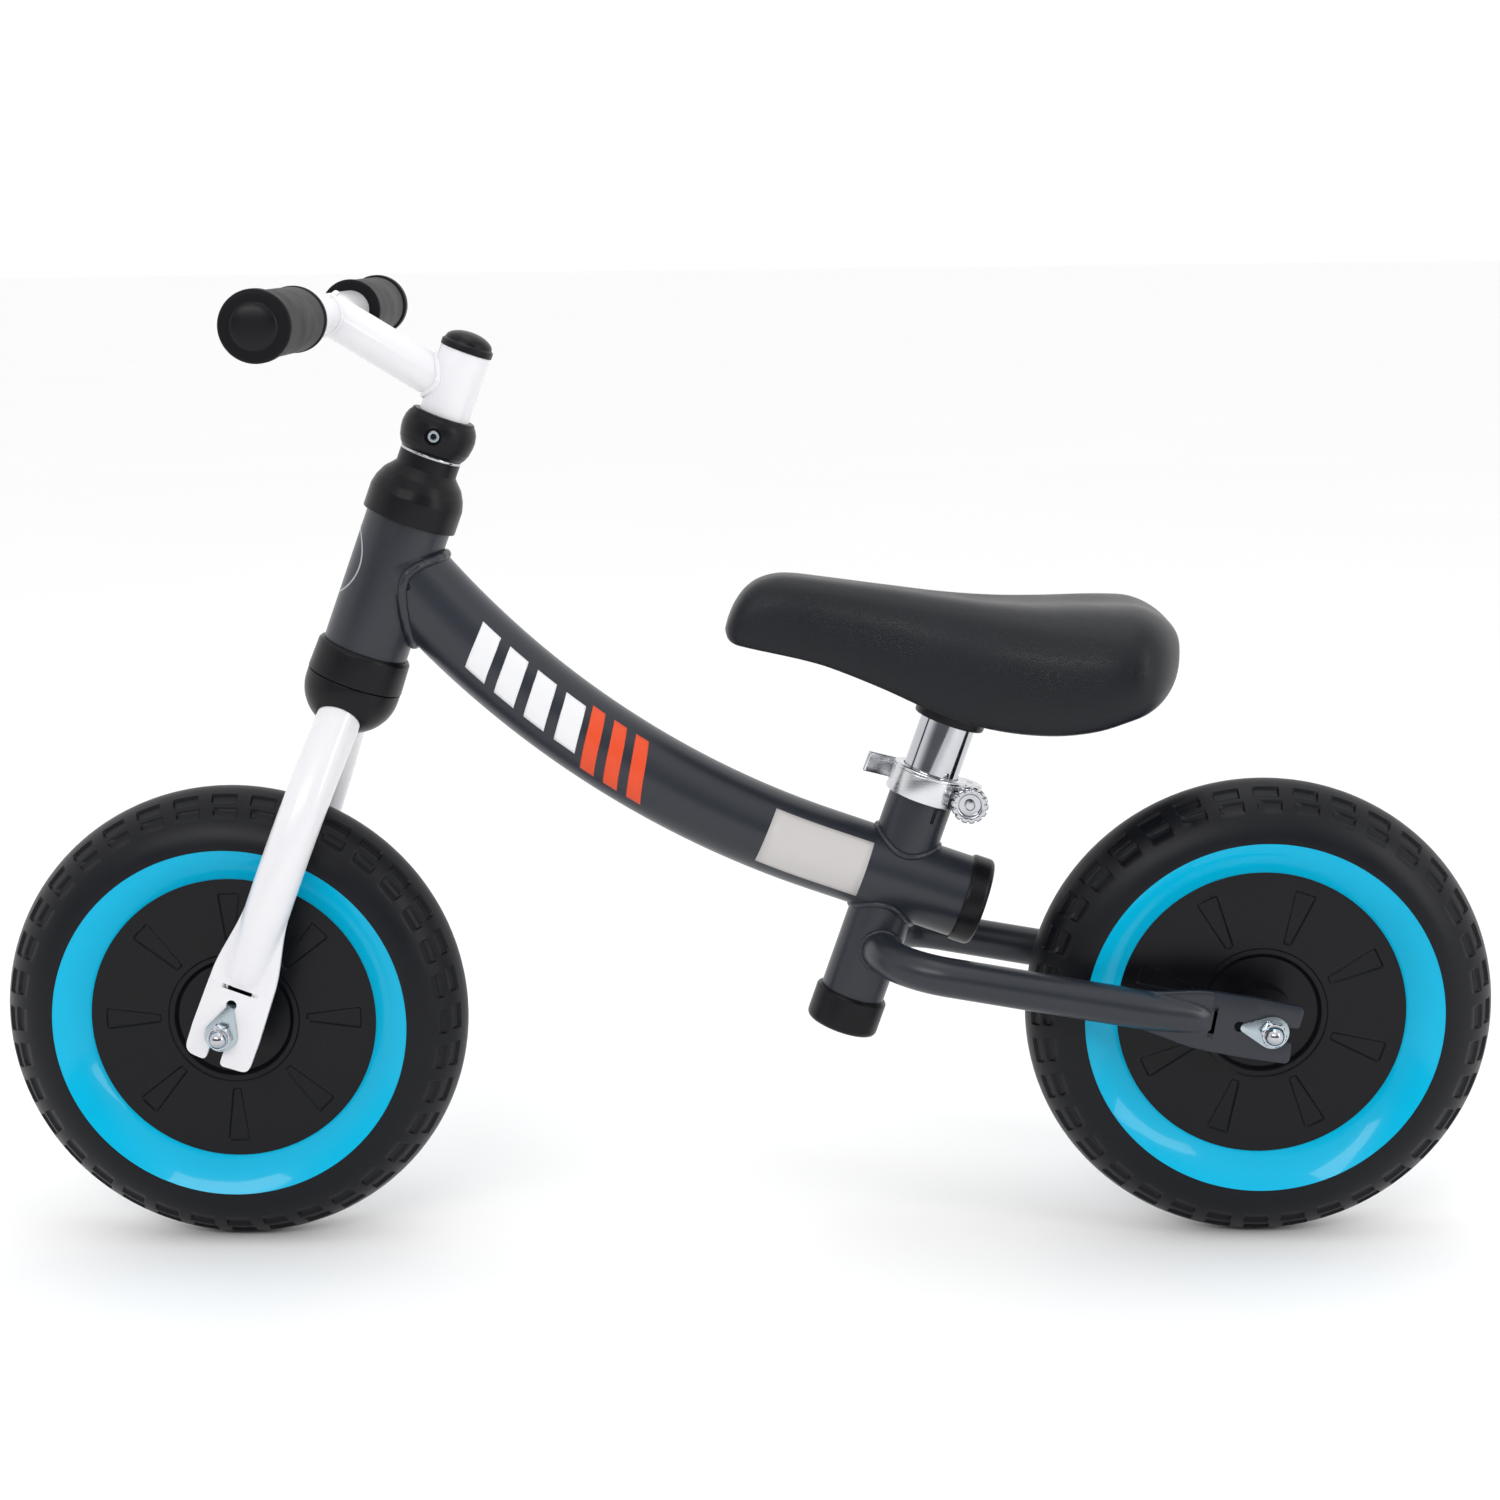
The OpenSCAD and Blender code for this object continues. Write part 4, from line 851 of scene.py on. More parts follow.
def add_leg(name, side):
    bm = bmesh.new()
    skin(bm, leg_rings(side), STEER)
    new_object(name + "_shell", finish_mesh(bm, name, 40.0), *FORK_TUBE, [name])
    # x of the plate's outline points down the leg and y to the rear; the slot is 2 mm off the middle
    plate = STEER @ Matrix(((0, -1, 0, 0), (0, 0, 1, side * LEG_Y), (-1, 0, 0, 0), (0, 0, 0, 1)))
    bm = bmesh.new()
    add_end_plate(bm, plate, [(-30, 18.8, 0), (-2, 19.6, 20), (16.5, 19.2, 5), (17.5, 2.1, 3), (0, 2.1, 0)],
                  [(0, -6.1, 0), (17.0, -6.1, 3), (16.0, -19.2, 9), (-2, -19.6, 20), (-30, -18.8, 0)], -2.0)
    end = new_object(name + "_dropout", finish_mesh(bm, name, 40.0), *FORK_TUBE)
    drill(end, plate, -2.0)


add_leg("left_fork_leg", 1)
add_leg("right_fork_leg", -1)

# ---- handlebar ----

CLAMP_TOP = HEAD_HIGH + 31 + 1.6 + 22.5
ARM_RISE = math.radians(10)
BAR_S = CLAMP_TOP + 16 + BAR_REACH * math.tan(ARM_RISE)
BAR = STEER @ Matrix.Translation((BAR_REACH, 0, BAR_S))
BAR_SIDE = BAR @ Matrix.Rotation(-math.pi / 2, 4, "X")
POST_TOP = CLAMP_TOP + 16 + 22

STEM_R, BAR_R = STEM_D / 2, BAR_D / 2

lathe("stem_post_shell", pipe_outline(STEM_R, STEM_R - TUBE_WALL, CLAMP_TOP - 111, POST_TOP), STEER,
      *BAR_TUBE, ["stem_post"], 96)
bm = bmesh.new()
ROOT = Vector((2, 0, BAR_S - (BAR_REACH - 2) * math.tan(ARM_RISE)))
TIP = Vector((BAR_REACH - 2, 0, BAR_S - 2 * math.tan(ARM_RISE) + 1.6))
skin(bm, sweep_rings([ROOT, ROOT.lerp(TIP, 0.5), TIP], ARM_D / 2, 72), STEER)
new_object("stem_arm_shell", finish_mesh(bm, "stem_arm"), *BAR_TUBE, ["stem_arm"])
lathe("handlebar_shell", pipe_outline(BAR_R, BAR_R - TUBE_WALL, -BAR_HALF + 6, BAR_HALF - 6), BAR_SIDE,
      *BAR_TUBE, ["handlebar"], 72)


def dome_points(r, h, base, steps=12):
    out = []
    for k in range(steps):
        a = math.pi / 2 * k / steps
        out.append((r * math.cos(a), base + h * math.sin(a)))
    return out + [(0.0, base + h)]


PLUG_R = STEM_R + 0.5
PLUG_EDGE = [(PLUG_R, POST_TOP), (PLUG_R, POST_TOP + 3.2), (PLUG_R - 1.1, POST_TOP + 4.2)]
lathe("stem_plug_cap", [(0, POST_TOP)] + rounded(PLUG_EDGE, [0.3, 0.6, 0], 3, closed=False)
      + dome_points(PLUG_R - 1.3, 6.4, POST_TOP + 4.3), STEER, *BAR_BLACK, ["stem_plug"], 72)


def grip_outline():
    """Sleeve with a bead at its inner end, a groove, and a wide rim at the bar's end."""
    sleeve, rim = BAR_R + 5.9, BAR_R + 7.2
    inner, end = BAR_HALF - GRIP_LEN, BAR_HALF
    points = [(BAR_R, inner), (sleeve + 0.5, inner), (sleeve + 0.5, inner + 4.5), (sleeve - 0.5, inner + 6.0),
              (sleeve, inner + 9), (sleeve, end - 13), (sleeve - 0.9, end - 11.6), (sleeve - 0.9, end - 10.4),
              (rim, end - 9.4), (rim, end), (BAR_R, end)]
    return rounded(points, [0, 1.8, 1.2, 0.8, 2.5, 1.5, 0.5, 0.5, 1.6, 2.6, 0], 5)


BAR_PLUG = [(0, BAR_HALF - 6), (BAR_R - 0.1, BAR_HALF - 6), (BAR_R - 0.1, BAR_HALF - 0.6),
            (BAR_R + 1.1, BAR_HALF - 0.5), (BAR_R + 1.3, BAR_HALF)]
BAR_PLUG += dome_points(BAR_R + 1.1, 2.8, BAR_HALF + 0.1)
bm = bmesh.new()
for side, name in ((1, "left_grip"), (-1, "right_grip")):
    outward = BAR @ wheel_matrix(Vector(), side)
    lathe(name + "_sleeve", grip_outline(), outward, "bar_set", "grip_rubber", GRIP, [name], 96)
    lathe_into(bm, BAR_PLUG, outward, 72)
new_object("bar_plug_domes", clean(bm, "bar_plug_domes"), *BAR_BLACK, ["bar_end_plugs"])

# ---- headset covers ----

COVER_R = HEAD_D / 2 + 3
SPLIT = HEAD_LOW - 10.3
LOWER_COVER = [(HEAD_D / 2, SPLIT + 0.3), (COVER_R + 0.3, SPLIT + 0.3), (COVER_R - 0.4, HEAD_LOW + 7.2),
               (COVER_R - 1.6, HEAD_LOW + 9), (HEAD_D / 2, HEAD_LOW + 9)]
lathe("lower_cover_shell", rounded(LOWER_COVER, [0, 0.5, 1.2, 0.6, 0], 3), STEER,
      *FRAME_BLACK, ["lower_cup_cover"], 96)


def crown_outline():
    low = CROWN_COVER_LOW
    dome_s = SPLIT - 4.5
    high = dome_s - low
    wall = 2.2
    inner_r = COVER_R - wall
    outer = dome_points(COVER_R, -high, dome_s, 16)
    inner = dome_points(inner_r, wall - high, dome_s, 16)
    rim = rounded([(inner_r, SPLIT - 0.3), (COVER_R, SPLIT - 0.3), outer[0]], [0, 0.5, 0], 3, closed=False)
    return rim + outer[1:] + list(reversed(inner))


crown_cover = lathe("crown_cover_shell", crown_outline(), STEER, *FORK_BLACK, ["crown_cover"], 96)


def leg_room(bm):
    """Arches in the crown's cover, a little wider than the legs."""
    for side in (1, -1):
        out = Vector((0, side * math.sin(LEG_ANGLE), -math.cos(LEG_ANGLE)))
        top = Vector((0, 0, LEG_TOP))
        path = [top + out * reach for reach in (2, 30, 80)]
        skin(bm, sweep_rings(path, LEG_D / 2 + 0.45, 64, Vector((1, 0, 0))), STEER)


bm = bmesh.new()
leg_room(bm)
cut(crown_cover, finish_mesh(bm, "leg_room"))


def upper_outline():
    """Bell over the upper bearing, with a neck up the steerer; heights are above the head tube."""
    inner_r, neck_r, bore_r = HEAD_D / 2 + 0.4, STEERER_D / 2 + 1.5, STEERER_D / 2
    r = COVER_R - 0.3
    points = [(inner_r, -7), (r, -7), (r, 6.5), (r - 1.4, 12), (r - 4.2, 17.5), (r - 8.2, 21.8), (neck_r, 23.4),
              (neck_r, 31), (bore_r, 31), (bore_r, 20), (inner_r - 3, 14), (inner_r, 4)]
    points = [(x, HEAD_HIGH + z) for x, z in points]
    return rounded(points, [0, 0.6, 6, 8, 8, 6, 1.0, 0.4, 0, 0, 0, 0], 5)


lathe("upper_cover_shell", upper_outline(), STEER, *FORK_BLACK, ["upper_cover"], 96)
WASHER_S, WASHER_T = HEAD_HIGH + 31, 1.6
RING_IN_R, RING_OUT_R = STEERER_D / 2, STEERER_D / 2 + 1.7
SILVER = [(RING_IN_R, WASHER_S), (RING_OUT_R, WASHER_S), (RING_OUT_R, WASHER_S + WASHER_T),
          (RING_IN_R, WASHER_S + WASHER_T)]
lathe("silver_ring", rounded(SILVER, [0, 0.5, 0.5, 0], 3), STEER, "fork", "chrome_fittings", CHROME,
      ["clamp_washer"], 72)

CLAMP_LOW = WASHER_S + WASHER_T


def clamp_outline():
    """Barrel-shaped collar round the stem; heights are above its lower end."""
    bore_r = STEM_R + 0.1
    points = [(bore_r, 0), (17.3, 0), (18.8, 2.0), (20.2, 5.2), (21.1, 9.5), (21.3, 13.0), (20.6, 17.0),
              (19.4, 19.6), (18.4, 20.9), (17.6, 22.5), (bore_r, 22.5)]
    return rounded([(r, CLAMP_LOW + h) for r, h in points], [0, 0.5, 3, 4, 5, 5, 3, 1, 0.8, 0.6, 0], 4)


stem_clamp = lathe("stem_clamp_collar", clamp_outline(), STEER, *FORK_BLACK, ["stem_clamp"], 96)
CLAMP_MID = CLAMP_LOW + 11.25
SCREW = STEER @ Matrix.Translation((0, 0, CLAMP_MID)) @ Matrix.Rotation(-math.pi / 2, 4, "X")
bore(stem_clamp, rod(4.9, 17.6, 30), SCREW, 48)
HEAD_EDGE = [(4.0, 15.8), (4.0, 18.2), (3.1, 18.9), (1.7, 18.9), (1.7, 16.6)]
lathe("clamp_screw_head", [(0, 15.8)] + rounded(HEAD_EDGE, [0, 0.6, 0.5, 0.2, 0], 3, closed=False) + [(0, 16.6)],
      SCREW, "fork", "chrome_fittings", STEEL, ["stem_clamp_screw"], 48)

# ---- caps at the tube ends ----

TAIL = ring_matrix(JOINT - MAIN_AHEAD * (MAIN_TAIL - 10.5), -MAIN_AHEAD)
CAP_R = MAIN_D / 2 + 1.5
END_CAP = [(MAIN_D / 2, 0), (CAP_R - 0.5, 0), (CAP_R, 1.2), (CAP_R, 12.5), (0, 12.5), (0, 10.7), (MAIN_D / 2, 10.7)]
lathe("main_tube_end_cap", rounded(END_CAP, [0, 0.4, 0.8, 3.6, 0, 0, 0], 6), TAIL,
      *FRAME_BLACK, ["main_tube_cap"], 96)
FOOT_R = SEAT_D / 2 + 2.4
FOOT_CAP = [(SEAT_D / 2, -74), (SEAT_D / 2, -92.1), (0, -92.1), (0, -95), (FOOT_R, -95), (FOOT_R, -75.2),
            (FOOT_R - 0.8, -74)]
lathe("seat_tube_foot_cap", rounded(FOOT_CAP, [0, 0, 0, 0, 4.2, 0.8, 0.4], 6), SEAT,
      *FRAME_BLACK, ["seat_tube_foot"], 96)

# ---- seat clamp ----

CLAMP_RING_R = SEAT_D / 2 + 3.2
LUG_R = CLAMP_RING_R + 8.4
BOLT_X = 5 - LUG_R
TOP = SEAT_UP_LEN + 2
MID = TOP - 8.25


def ring_with_lugs():
    """Outline of the clamp from above: a round ring that opens into two lugs at the rear."""
    half_slot, lug_w = 1.5, 9.0
    first = math.asin(lug_w / CLAMP_RING_R)
    bore_r = SEAT_D / 2 + 0.02
    inner_first = math.asin(half_slot / bore_r)
    outer = [(-x, y) for x, y in arc(CLAMP_RING_R, first, TAU - first, 80)]
    inner = [(-x, y) for x, y in arc(bore_r, inner_first, TAU - inner_first, 80)]
    left = rounded([inner[0], (-LUG_R, half_slot), (-LUG_R, lug_w), outer[0]], [0, 1.0, 3.5, 0], 4, closed=False)
    right = rounded([outer[-1], (-LUG_R, -lug_w), (-LUG_R, -half_slot), inner[-1]], [0, 3.5, 1.0, 0], 4, closed=False)
    return left + outer[1:-1] + right + list(reversed(inner))[1:-1]


bm = bmesh.new()
extrude_outline(bm, ring_with_lugs(), SEAT, TOP - 16.5, TOP - 2.0, 0.6, 3)
LIP_IN, LIP_OUT = POST_D / 2 + 0.5, CLAMP_RING_R - 0.3
lathe_into(bm, rounded([(LIP_IN, TOP - 2.6), (LIP_OUT, TOP - 2.6), (LIP_OUT, TOP), (LIP_IN, TOP)],
                       [0, 0, 1.2, 0.4], 4), SEAT, 96)
new_object("clamp_ring_body", clean(bm, "clamp_ring", 30.0), "frame", "clamp_alloy", ALLOY, ["seat_clamp_ring"])

NUT_R = 10.5
NECK = math.sqrt(CLAMP_RING_R ** 2 - (BOLT_X + NUT_R) ** 2) - 9.0 + 0.4
NUT = SEAT @ Matrix.Translation((BOLT_X, 9.0 + NECK, MID)) @ Matrix.Rotation(-math.pi / 2, 4, "X")


def knurled_nut():
    """Round nut with rounded grooves round its rim and a sunk face."""
    bm = bmesh.new()
    grooves, count = 14, 168

    def rim(k, grow):
        phase = (k * grooves / count) % 1.0
        dip = max(0.0, math.cos(TAU * phase)) ** 2
        return NUT_R - grow - 1.3 * dip

    levels = [(0.0, 0.8), (0.6, 0.1), (1.2, 0.0), (6.6, 0.0), (7.4, 0.25), (7.9, 0.9), (8.0, 1.6)]
    around = circle(1.0, 0, count)
    rings = [circle(4.8, z, count) for z in (-NECK, 0.0)]
    rings += [[(rim(k, g) * x, rim(k, g) * y, z) for k, (x, y, _) in enumerate(around)] for z, g in levels]
    rings += [circle(r, z, count) for r, z in ((7.4, 8.0), (6.6, 7.7), (6.2, 7.0), (6.0, 5.2), (3.4, 5.0))]
    skin(bm, rings, NUT)
    return clean(bm, "nut", 40.0)


new_object("hand_nut", knurled_nut(), "frame", "chrome_fittings", CHROME, ["seat_clamp_nut"])
bm = bmesh.new()
BOLT_END, EYE_Y = -26 - NECK, -17.0
BOLT_SIDE = rounded([(3, BOLT_END), (3, 7.0), (2.2, 7.8)], [0, 0.6, 0], 3, closed=False)
lathe_into(bm, [(0, BOLT_END)] + BOLT_SIDE + [(0, 8.0)], NUT, 48)
EYE = SEAT @ Matrix.Translation((BOLT_X, EYE_Y, MID))
lathe_into(bm, rounded([(2.05, -3), (5, -3), (5, 3), (2.05, 3)], [0.2, 0.7, 0.7, 0.2], 3), EYE, 64)
new_object("clamp_bolt_body", clean(bm, "clamp_bolt"), "frame", "chrome_fittings", CHROME, ["seat_clamp_bolt"])

# ---- quick-release lever ----

LEVER = SEAT @ Matrix.Translation((0, 0, MID))
LEVER_R = CLAMP_RING_R + 1.4


def lever_outline():
    """Curved lever from above: a long arm hugging the clamp, ending in a cam round the pin."""
    first, last, tip = math.radians(-128), math.radians(-62), 28.0
    along = Vector((-math.sin(last), math.cos(last)))
    inner_end = Vector((LEVER_R * math.cos(last), LEVER_R * math.sin(last))) + along * tip
    outward = Vector((math.cos(last), math.sin(last)))
    pin = Vector((BOLT_X, EYE_Y))
    cam = 7.9
    inner = arc(LEVER_R, first, last, 24)
    outer = arc(LEVER_R + 3, first, last, 24)
    flare = inner_end + outward * 0.2
    tip_points = rounded([inner[-1], tuple(flare), tuple(flare + outward * 2.6), outer[-1]],
                         [0, 1.2, 1.2, 0], 4, closed=False)
    # the cam: from the outer face round the pin to the inner face
    start = math.atan2(outer[0][1] - pin.y, outer[0][0] - pin.x)
    round_cam = arc(cam, start - 0.55, start - 0.55 - (TAU - 1.35), 40, tuple(pin))
    return inner[1:-1] + tip_points + list(reversed(outer))[1:] + round_cam


bm = bmesh.new()
extrude_outline(bm, lever_outline(), LEVER, -6, 6, 0.7, 3)
lever = new_object("lever_body", clean(bm, "lever", 30.0), "lever", "clamp_alloy", ALLOY, ["quick_release_lever"])
bore(lever, rod(8.9, -3.4, 3.4), EYE, 64)
PIN_SIDE = rounded([(2, -6.2), (2, 6.2)], [0.5, 0.5], 3, closed=False)
lathe("lever_pin_body", [(0, -6.2)] + PIN_SIDE + [(0, 6.2)], EYE, "lever", "chrome_fittings", CHROME,
      ["quick_release_pin"], 32)

# ---- saddle ----

COLLAR_LOW = TOP + 30
lathe("seat_post_shell", pipe_outline(POST_D / 2, POST_D / 2 - 2, SEAT_UP_LEN - 112, COLLAR_LOW + 3.5), SEAT,
      "saddle", "chrome_post", CHROME, ["seat_post"], 128)
PAD_LO, PAD_HI = node_box("saddle_pad")
SADDLE_LEN = PAD_HI.x - PAD_LO.x
SADDLE_HALF = (PAD_HI.y - PAD_LO.y) / 2
# each line is (share of the length from the nose, value): the top's height, the share of the half
# width and the skirt's lowest height; heights count from one level, with the highest point at 387.5
TOP_LINE = ((0.0, 357.5), (0.006, 363.0), (0.02, 371.0), (0.045, 379.5), (0.08, 385.2), (0.13, 387.5),
            (0.23, 384.6), (0.345, 380.4), (0.465, 376.4), (0.58, 373.6), (0.70, 372.4),
            (0.815, 372.4), (0.90, 371.4), (1.0, 367.5))
SIDE_LINE = ((0.0, 0.08), (0.003, 0.15), (0.01, 0.22), (0.03, 0.295), (0.07, 0.335), (0.13, 0.35),
             (0.23, 0.37), (0.345, 0.43), (0.465, 0.55), (0.58, 0.73), (0.70, 0.90), (0.80, 0.985),
             (0.86, 1.0), (0.93, 0.965), (1.0, 0.9))
LOW_LINE = ((0.0, 356.5), (0.006, 352.6), (0.02, 350.0), (0.045, 348.4), (0.1, 345.4), (0.17, 341.4),
            (0.23, 337.0), (0.345, 325.5), (0.465, 312.5), (0.58, 305.0), (0.70, 303.0), (0.80, 306.0),
            (0.90, 314.0), (1.0, 320.0))
TOP_OF_ALL = 387.5
TAIL_FROM, TAIL_Z = 0.88, 346.0


def saddle_section(u):
    """Top, half width and lowest edge at a share of the length; the rear end is rounded off."""
    top, half, low = line_at(TOP_LINE, u), line_at(SIDE_LINE, u), line_at(LOW_LINE, u)
    if u > TAIL_FROM:
        e = math.sqrt(max(0.0, 1 - ((u - TAIL_FROM) / (1 - TAIL_FROM)) ** 2.2))
        top, low = TAIL_Z + (top - TAIL_Z) * e, TAIL_Z + (low - TAIL_Z) * e
        half = max(0.01, half * e ** 0.9)
    lift = PAD_HI.z - TOP_OF_ALL
    return top + lift, half * SADDLE_HALF, low + lift


def line_at(line, x):
    """Smooth curve through the points of a line."""
    for (x0, y0), (x1, y1) in zip(line, line[1:]):
        if x <= x1:
            i = line.index((x0, y0))
            xm, ym = line[max(i - 1, 0)]
            xp, yp = line[min(i + 2, len(line) - 1)]
            t = (x - x0) / (x1 - x0)
            m0 = (y1 - ym) / (x1 - xm) * (x1 - x0) if x1 > xm else y1 - y0
            m1 = (yp - y0) / (xp - x0) * (x1 - x0) if xp > x0 else y1 - y0
            value = (2 * t**3 - 3 * t**2 + 1) * y0 + (t**3 - 2 * t**2 + t) * m0
            return value + (-2 * t**3 + 3 * t**2) * y1 + (t**3 - t**2) * m1
    return line[-1][1]


def saddle_mesh():
    bm = bmesh.new()
    rings = []
    steps, around = 84, 80
    for i in range(steps + 1):
        u = (1 - math.cos(math.pi * i / steps)) / 2
        x = PAD_HI.x - SADDLE_LEN * u
        top, half, low = saddle_section(u)
        ring = []
        seam = low + (top - low) * 0.30
        for k in range(around):
            a = TAU * k / around
            c, s = math.cos(a), math.sin(a)
            if s >= 0:
                y = half * math.copysign(abs(c) ** 0.62, c)
                z = seam + (top - seam) * abs(s) ** 0.78
                # shallow hollow along the middle of the seat
                ends = smooth((u - 0.35) / 0.3) * smooth((1.0 - u) / 0.12)
                z -= 2.2 * math.exp(-(y / (half * 0.28 + 4)) ** 2) * ends * s
            else:
                y = half * math.copysign(abs(c) ** 0.75, c)
                # the skirt rolls under, and the underside is hollow for the plate
                under = smooth((abs(s) - 0.42) / 0.45)
                hollow = 4.5 * under * smooth(u / 0.08) * smooth((1 - u) / 0.06)
                z = seam - (seam - low) * min(1.0, abs(s) / 0.42) ** 0.6 + hollow
                y *= 1 - 0.05 * min(1.0, abs(s) / 0.42)
            ring.append((x, y, z))
        rings.append(ring)
    skin(bm, rings, Matrix.Identity(4))
    return finish_mesh(bm, "saddle", 60.0)


pad = new_object("padded_saddle", saddle_mesh(), "saddle", "saddle_skin", SADDLE, ["saddle_pad"])


def base_mesh():
    """Moulded plate in the pad's hollow, and the collar that takes the post."""
    bm = bmesh.new()
    rings = []
    for i in range(41):
        u = 0.12 + 0.78 * (1 - math.cos(math.pi * i / 40)) / 2
        half, low = saddle_section(u)[1:]
        half *= 0.7 * math.sqrt(max(0.02, 1 - abs((u - 0.51) / 0.395) ** 6))
        low += 3.2
        ring = []
        x = PAD_HI.x - SADDLE_LEN * u
        for c, s, _ in circle(1.0, 0, 48):
            y, z = math.copysign(abs(c) ** 0.5, c), math.copysign(abs(s) ** 0.5, s)
            ring.append((x, half * y, low + 2.5 + 2.5 * z))
        rings.append(ring)
    skin(bm, rings, Matrix.Identity(4))
    inner, outer, low, high = POST_D / 2, POST_D / 2 + 4.5, COLLAR_LOW, COLLAR_LOW + 16
    lathe_into(bm, rounded([(inner, low), (outer, low), (outer, high), (inner, high)], [0, 1.6, 0, 0], 4), SEAT, 96)
    rib = rounded([(-9, -1.5), (9, -1.5), (9, 1.5), (-9, 1.5)], 0.8, 2)
    for side in (1, -1):
        for x in (26, -34):
            extrude_outline(bm, rib, SEAT @ Matrix.Translation((x, side * 8, 0)), low + 9.5, high, 0.4, 2)
    return finish_mesh(bm, "saddle_base", 40.0)


new_object("saddle_plate_and_collar", base_mesh(), "saddle", "black_plastic", BLACK, ["saddle_base"])

# ---- marks on the main tube, without lettering ----


def mark_on_main(name, matl, spans, lift=0.12):
    """Thin patches that follow the main tube.

    A span gives the start and end along the path, the lowest and highest angle up the tube's left
    side, and how far the upper edge is shifted along the path.
    """
    bm = bmesh.new()
    for s0, s1, a0, a1, lean in spans:
        rows, cols = 14, 10
        grid = []
        for i in range(rows + 1):
            a = a0 + (a1 - a0) * i / rows
            row = []
            for j in range(cols + 1):
                s = s0 + (s1 - s0) * j / cols + lean * (i / rows)
                point, along = on_path(s)
                up = Vector((-along.z, 0, along.x))
                direction = Y_AXIS * math.cos(a) + up * math.sin(a)
                row.append(bm.verts.new((point + direction * (MAIN_D / 2 + lift)) * MM))
            grid.append(row)
        for i in range(rows):
            for j in range(cols):
                bm.faces.new((grid[i][j], grid[i][j + 1], grid[i + 1][j + 1], grid[i + 1][j]))
    mesh = finish_mesh(bm, name, weld=False)
    piece = new_object(name, mesh, "frame", "frame_paint", matl)
    thick = piece.modifiers.new("thick", "SOLIDIFY")
    thick.thickness = 0.0001
    thick.offset = 1.0
    return piece


def path_lengths():
    total, out = 0.0, [0.0]
    for a, b in zip(MAIN_PATH, MAIN_PATH[1:]):
        total += (b - a).length
        out.append(total)
    return out


LENGTHS = path_lengths()


def on_path(s):
    """Point and direction of the main tube's centre line at a length from its tail."""
    for i, (a, b) in enumerate(zip(LENGTHS, LENGTHS[1:])):
        if s <= b or i == len(LENGTHS) - 2:
            t = (s - a) / (b - a)
            p, q = MAIN_PATH[i], MAIN_PATH[i + 1]
            return p.lerp(q, t), (q - p).normalized()


def path_at_x(x):
    for i, (p, q) in enumerate(zip(MAIN_PATH, MAIN_PATH[1:])):
        if p.x <= x <= q.x:
            return LENGTHS[i] + (x - p.x) / (q.x - p.x) * (LENGTHS[i + 1] - LENGTHS[i])


def stripes(first, step, width, count, low, high, lean):
    spans = [(first + k * step, math.radians(low), math.radians(high)) for k in range(count)]
    return [(start, start + width, a, b, lean) for start, a, b in spans]


STRIPES_AT, LABEL_AT = path_at_x(50), path_at_x(-69)
mark_on_main("orange_stripes", ORANGE, stripes(STRIPES_AT, 15, 9, 3, -40, 48, 14))
mark_on_main("white_stripes", MARK, stripes(STRIPES_AT + 46, 21, 14, 4, -24, 40, 10))
mark_on_main("plain_label", LABEL, stripes(LABEL_AT, 0, 60, 1, -40, 44, 0))


def oval_badge():
    """Plain oval outline on the front of the head tube."""
    bm = bmesh.new()
    middle, half_a, half_h, width = HEAD_LOW + 55, 0.88, 20.5, 1.1
    rings = []
    for k in range(120):
        a = TAU * k / 120
        ring = []
        for grow, lift in ((0, 0.0), (0, 0.14), (-width, 0.14), (-width, 0.0)):
            angle = (half_a + grow / (HEAD_D / 2)) * math.cos(a)
            r = HEAD_D / 2 + lift - 0.02
            ring.append((r * math.cos(angle), r * math.sin(angle), middle + (half_h + grow) * math.sin(a)))
        rings.append(ring)
    rings.append(rings[0])
    skin(bm, rings, STEER, caps=False)
    new_object("oval_badge_outline", clean(bm, "oval_badge"), "frame", "frame_paint", OUTLINE)


oval_badge()

# ---- weld beads ----


def weld(name, trunk, trunk_r, branch, branch_r, bead, body, slot, matl, gap=2.5):
    """Bead round a branch tube where it meets a trunk; both matrices have z along their tube."""
    bm = bmesh.new()
    back = trunk.inverted() @ branch
    steps = 120
    path = []
    d = back.to_3x3() @ Vector((0, 0, 1))
    for x, y, _ in circle(branch_r, 0, steps):
        # where a line along the branch's side comes out of the trunk
        p = back @ Vector((x, y, 0))
        qa, qb = d.x ** 2 + d.y ** 2, 2 * (p.x * d.x + p.y * d.y)
        qc = p.x ** 2 + p.y ** 2 - trunk_r ** 2 - gap ** 2
        t = (-qb + math.sqrt(max(0.0, qb * qb - 4 * qa * qc))) / (2 * qa)
        path.append(branch @ Vector((x, y, t)))
    rings = []
    for k, p in enumerate(path):
        along = (path[(k + 1) % steps] - path[k - 1]).normalized()
        axis = branch.to_3x3() @ Vector((0, 0, 1))
        out = p - branch.translation
        out = (out - axis * out.dot(axis)).normalized()
        side = (out - along * out.dot(along)).normalized()
        other = along.cross(side)
        r = bead * (1 + 0.05 * math.sin(TAU * k * 24 / steps))
        rings.append([p + side * x + other * y for x, y, _ in circle(r, 0, 16)])
    rings.append(rings[0])
    skin(bm, rings, Matrix.Identity(4), caps=False)
    bmesh.ops.remove_doubles(bm, verts=bm.verts, dist=1e-8)
    new_object(name, finish_mesh(bm, name, 60.0, weld=False), body, slot, matl)


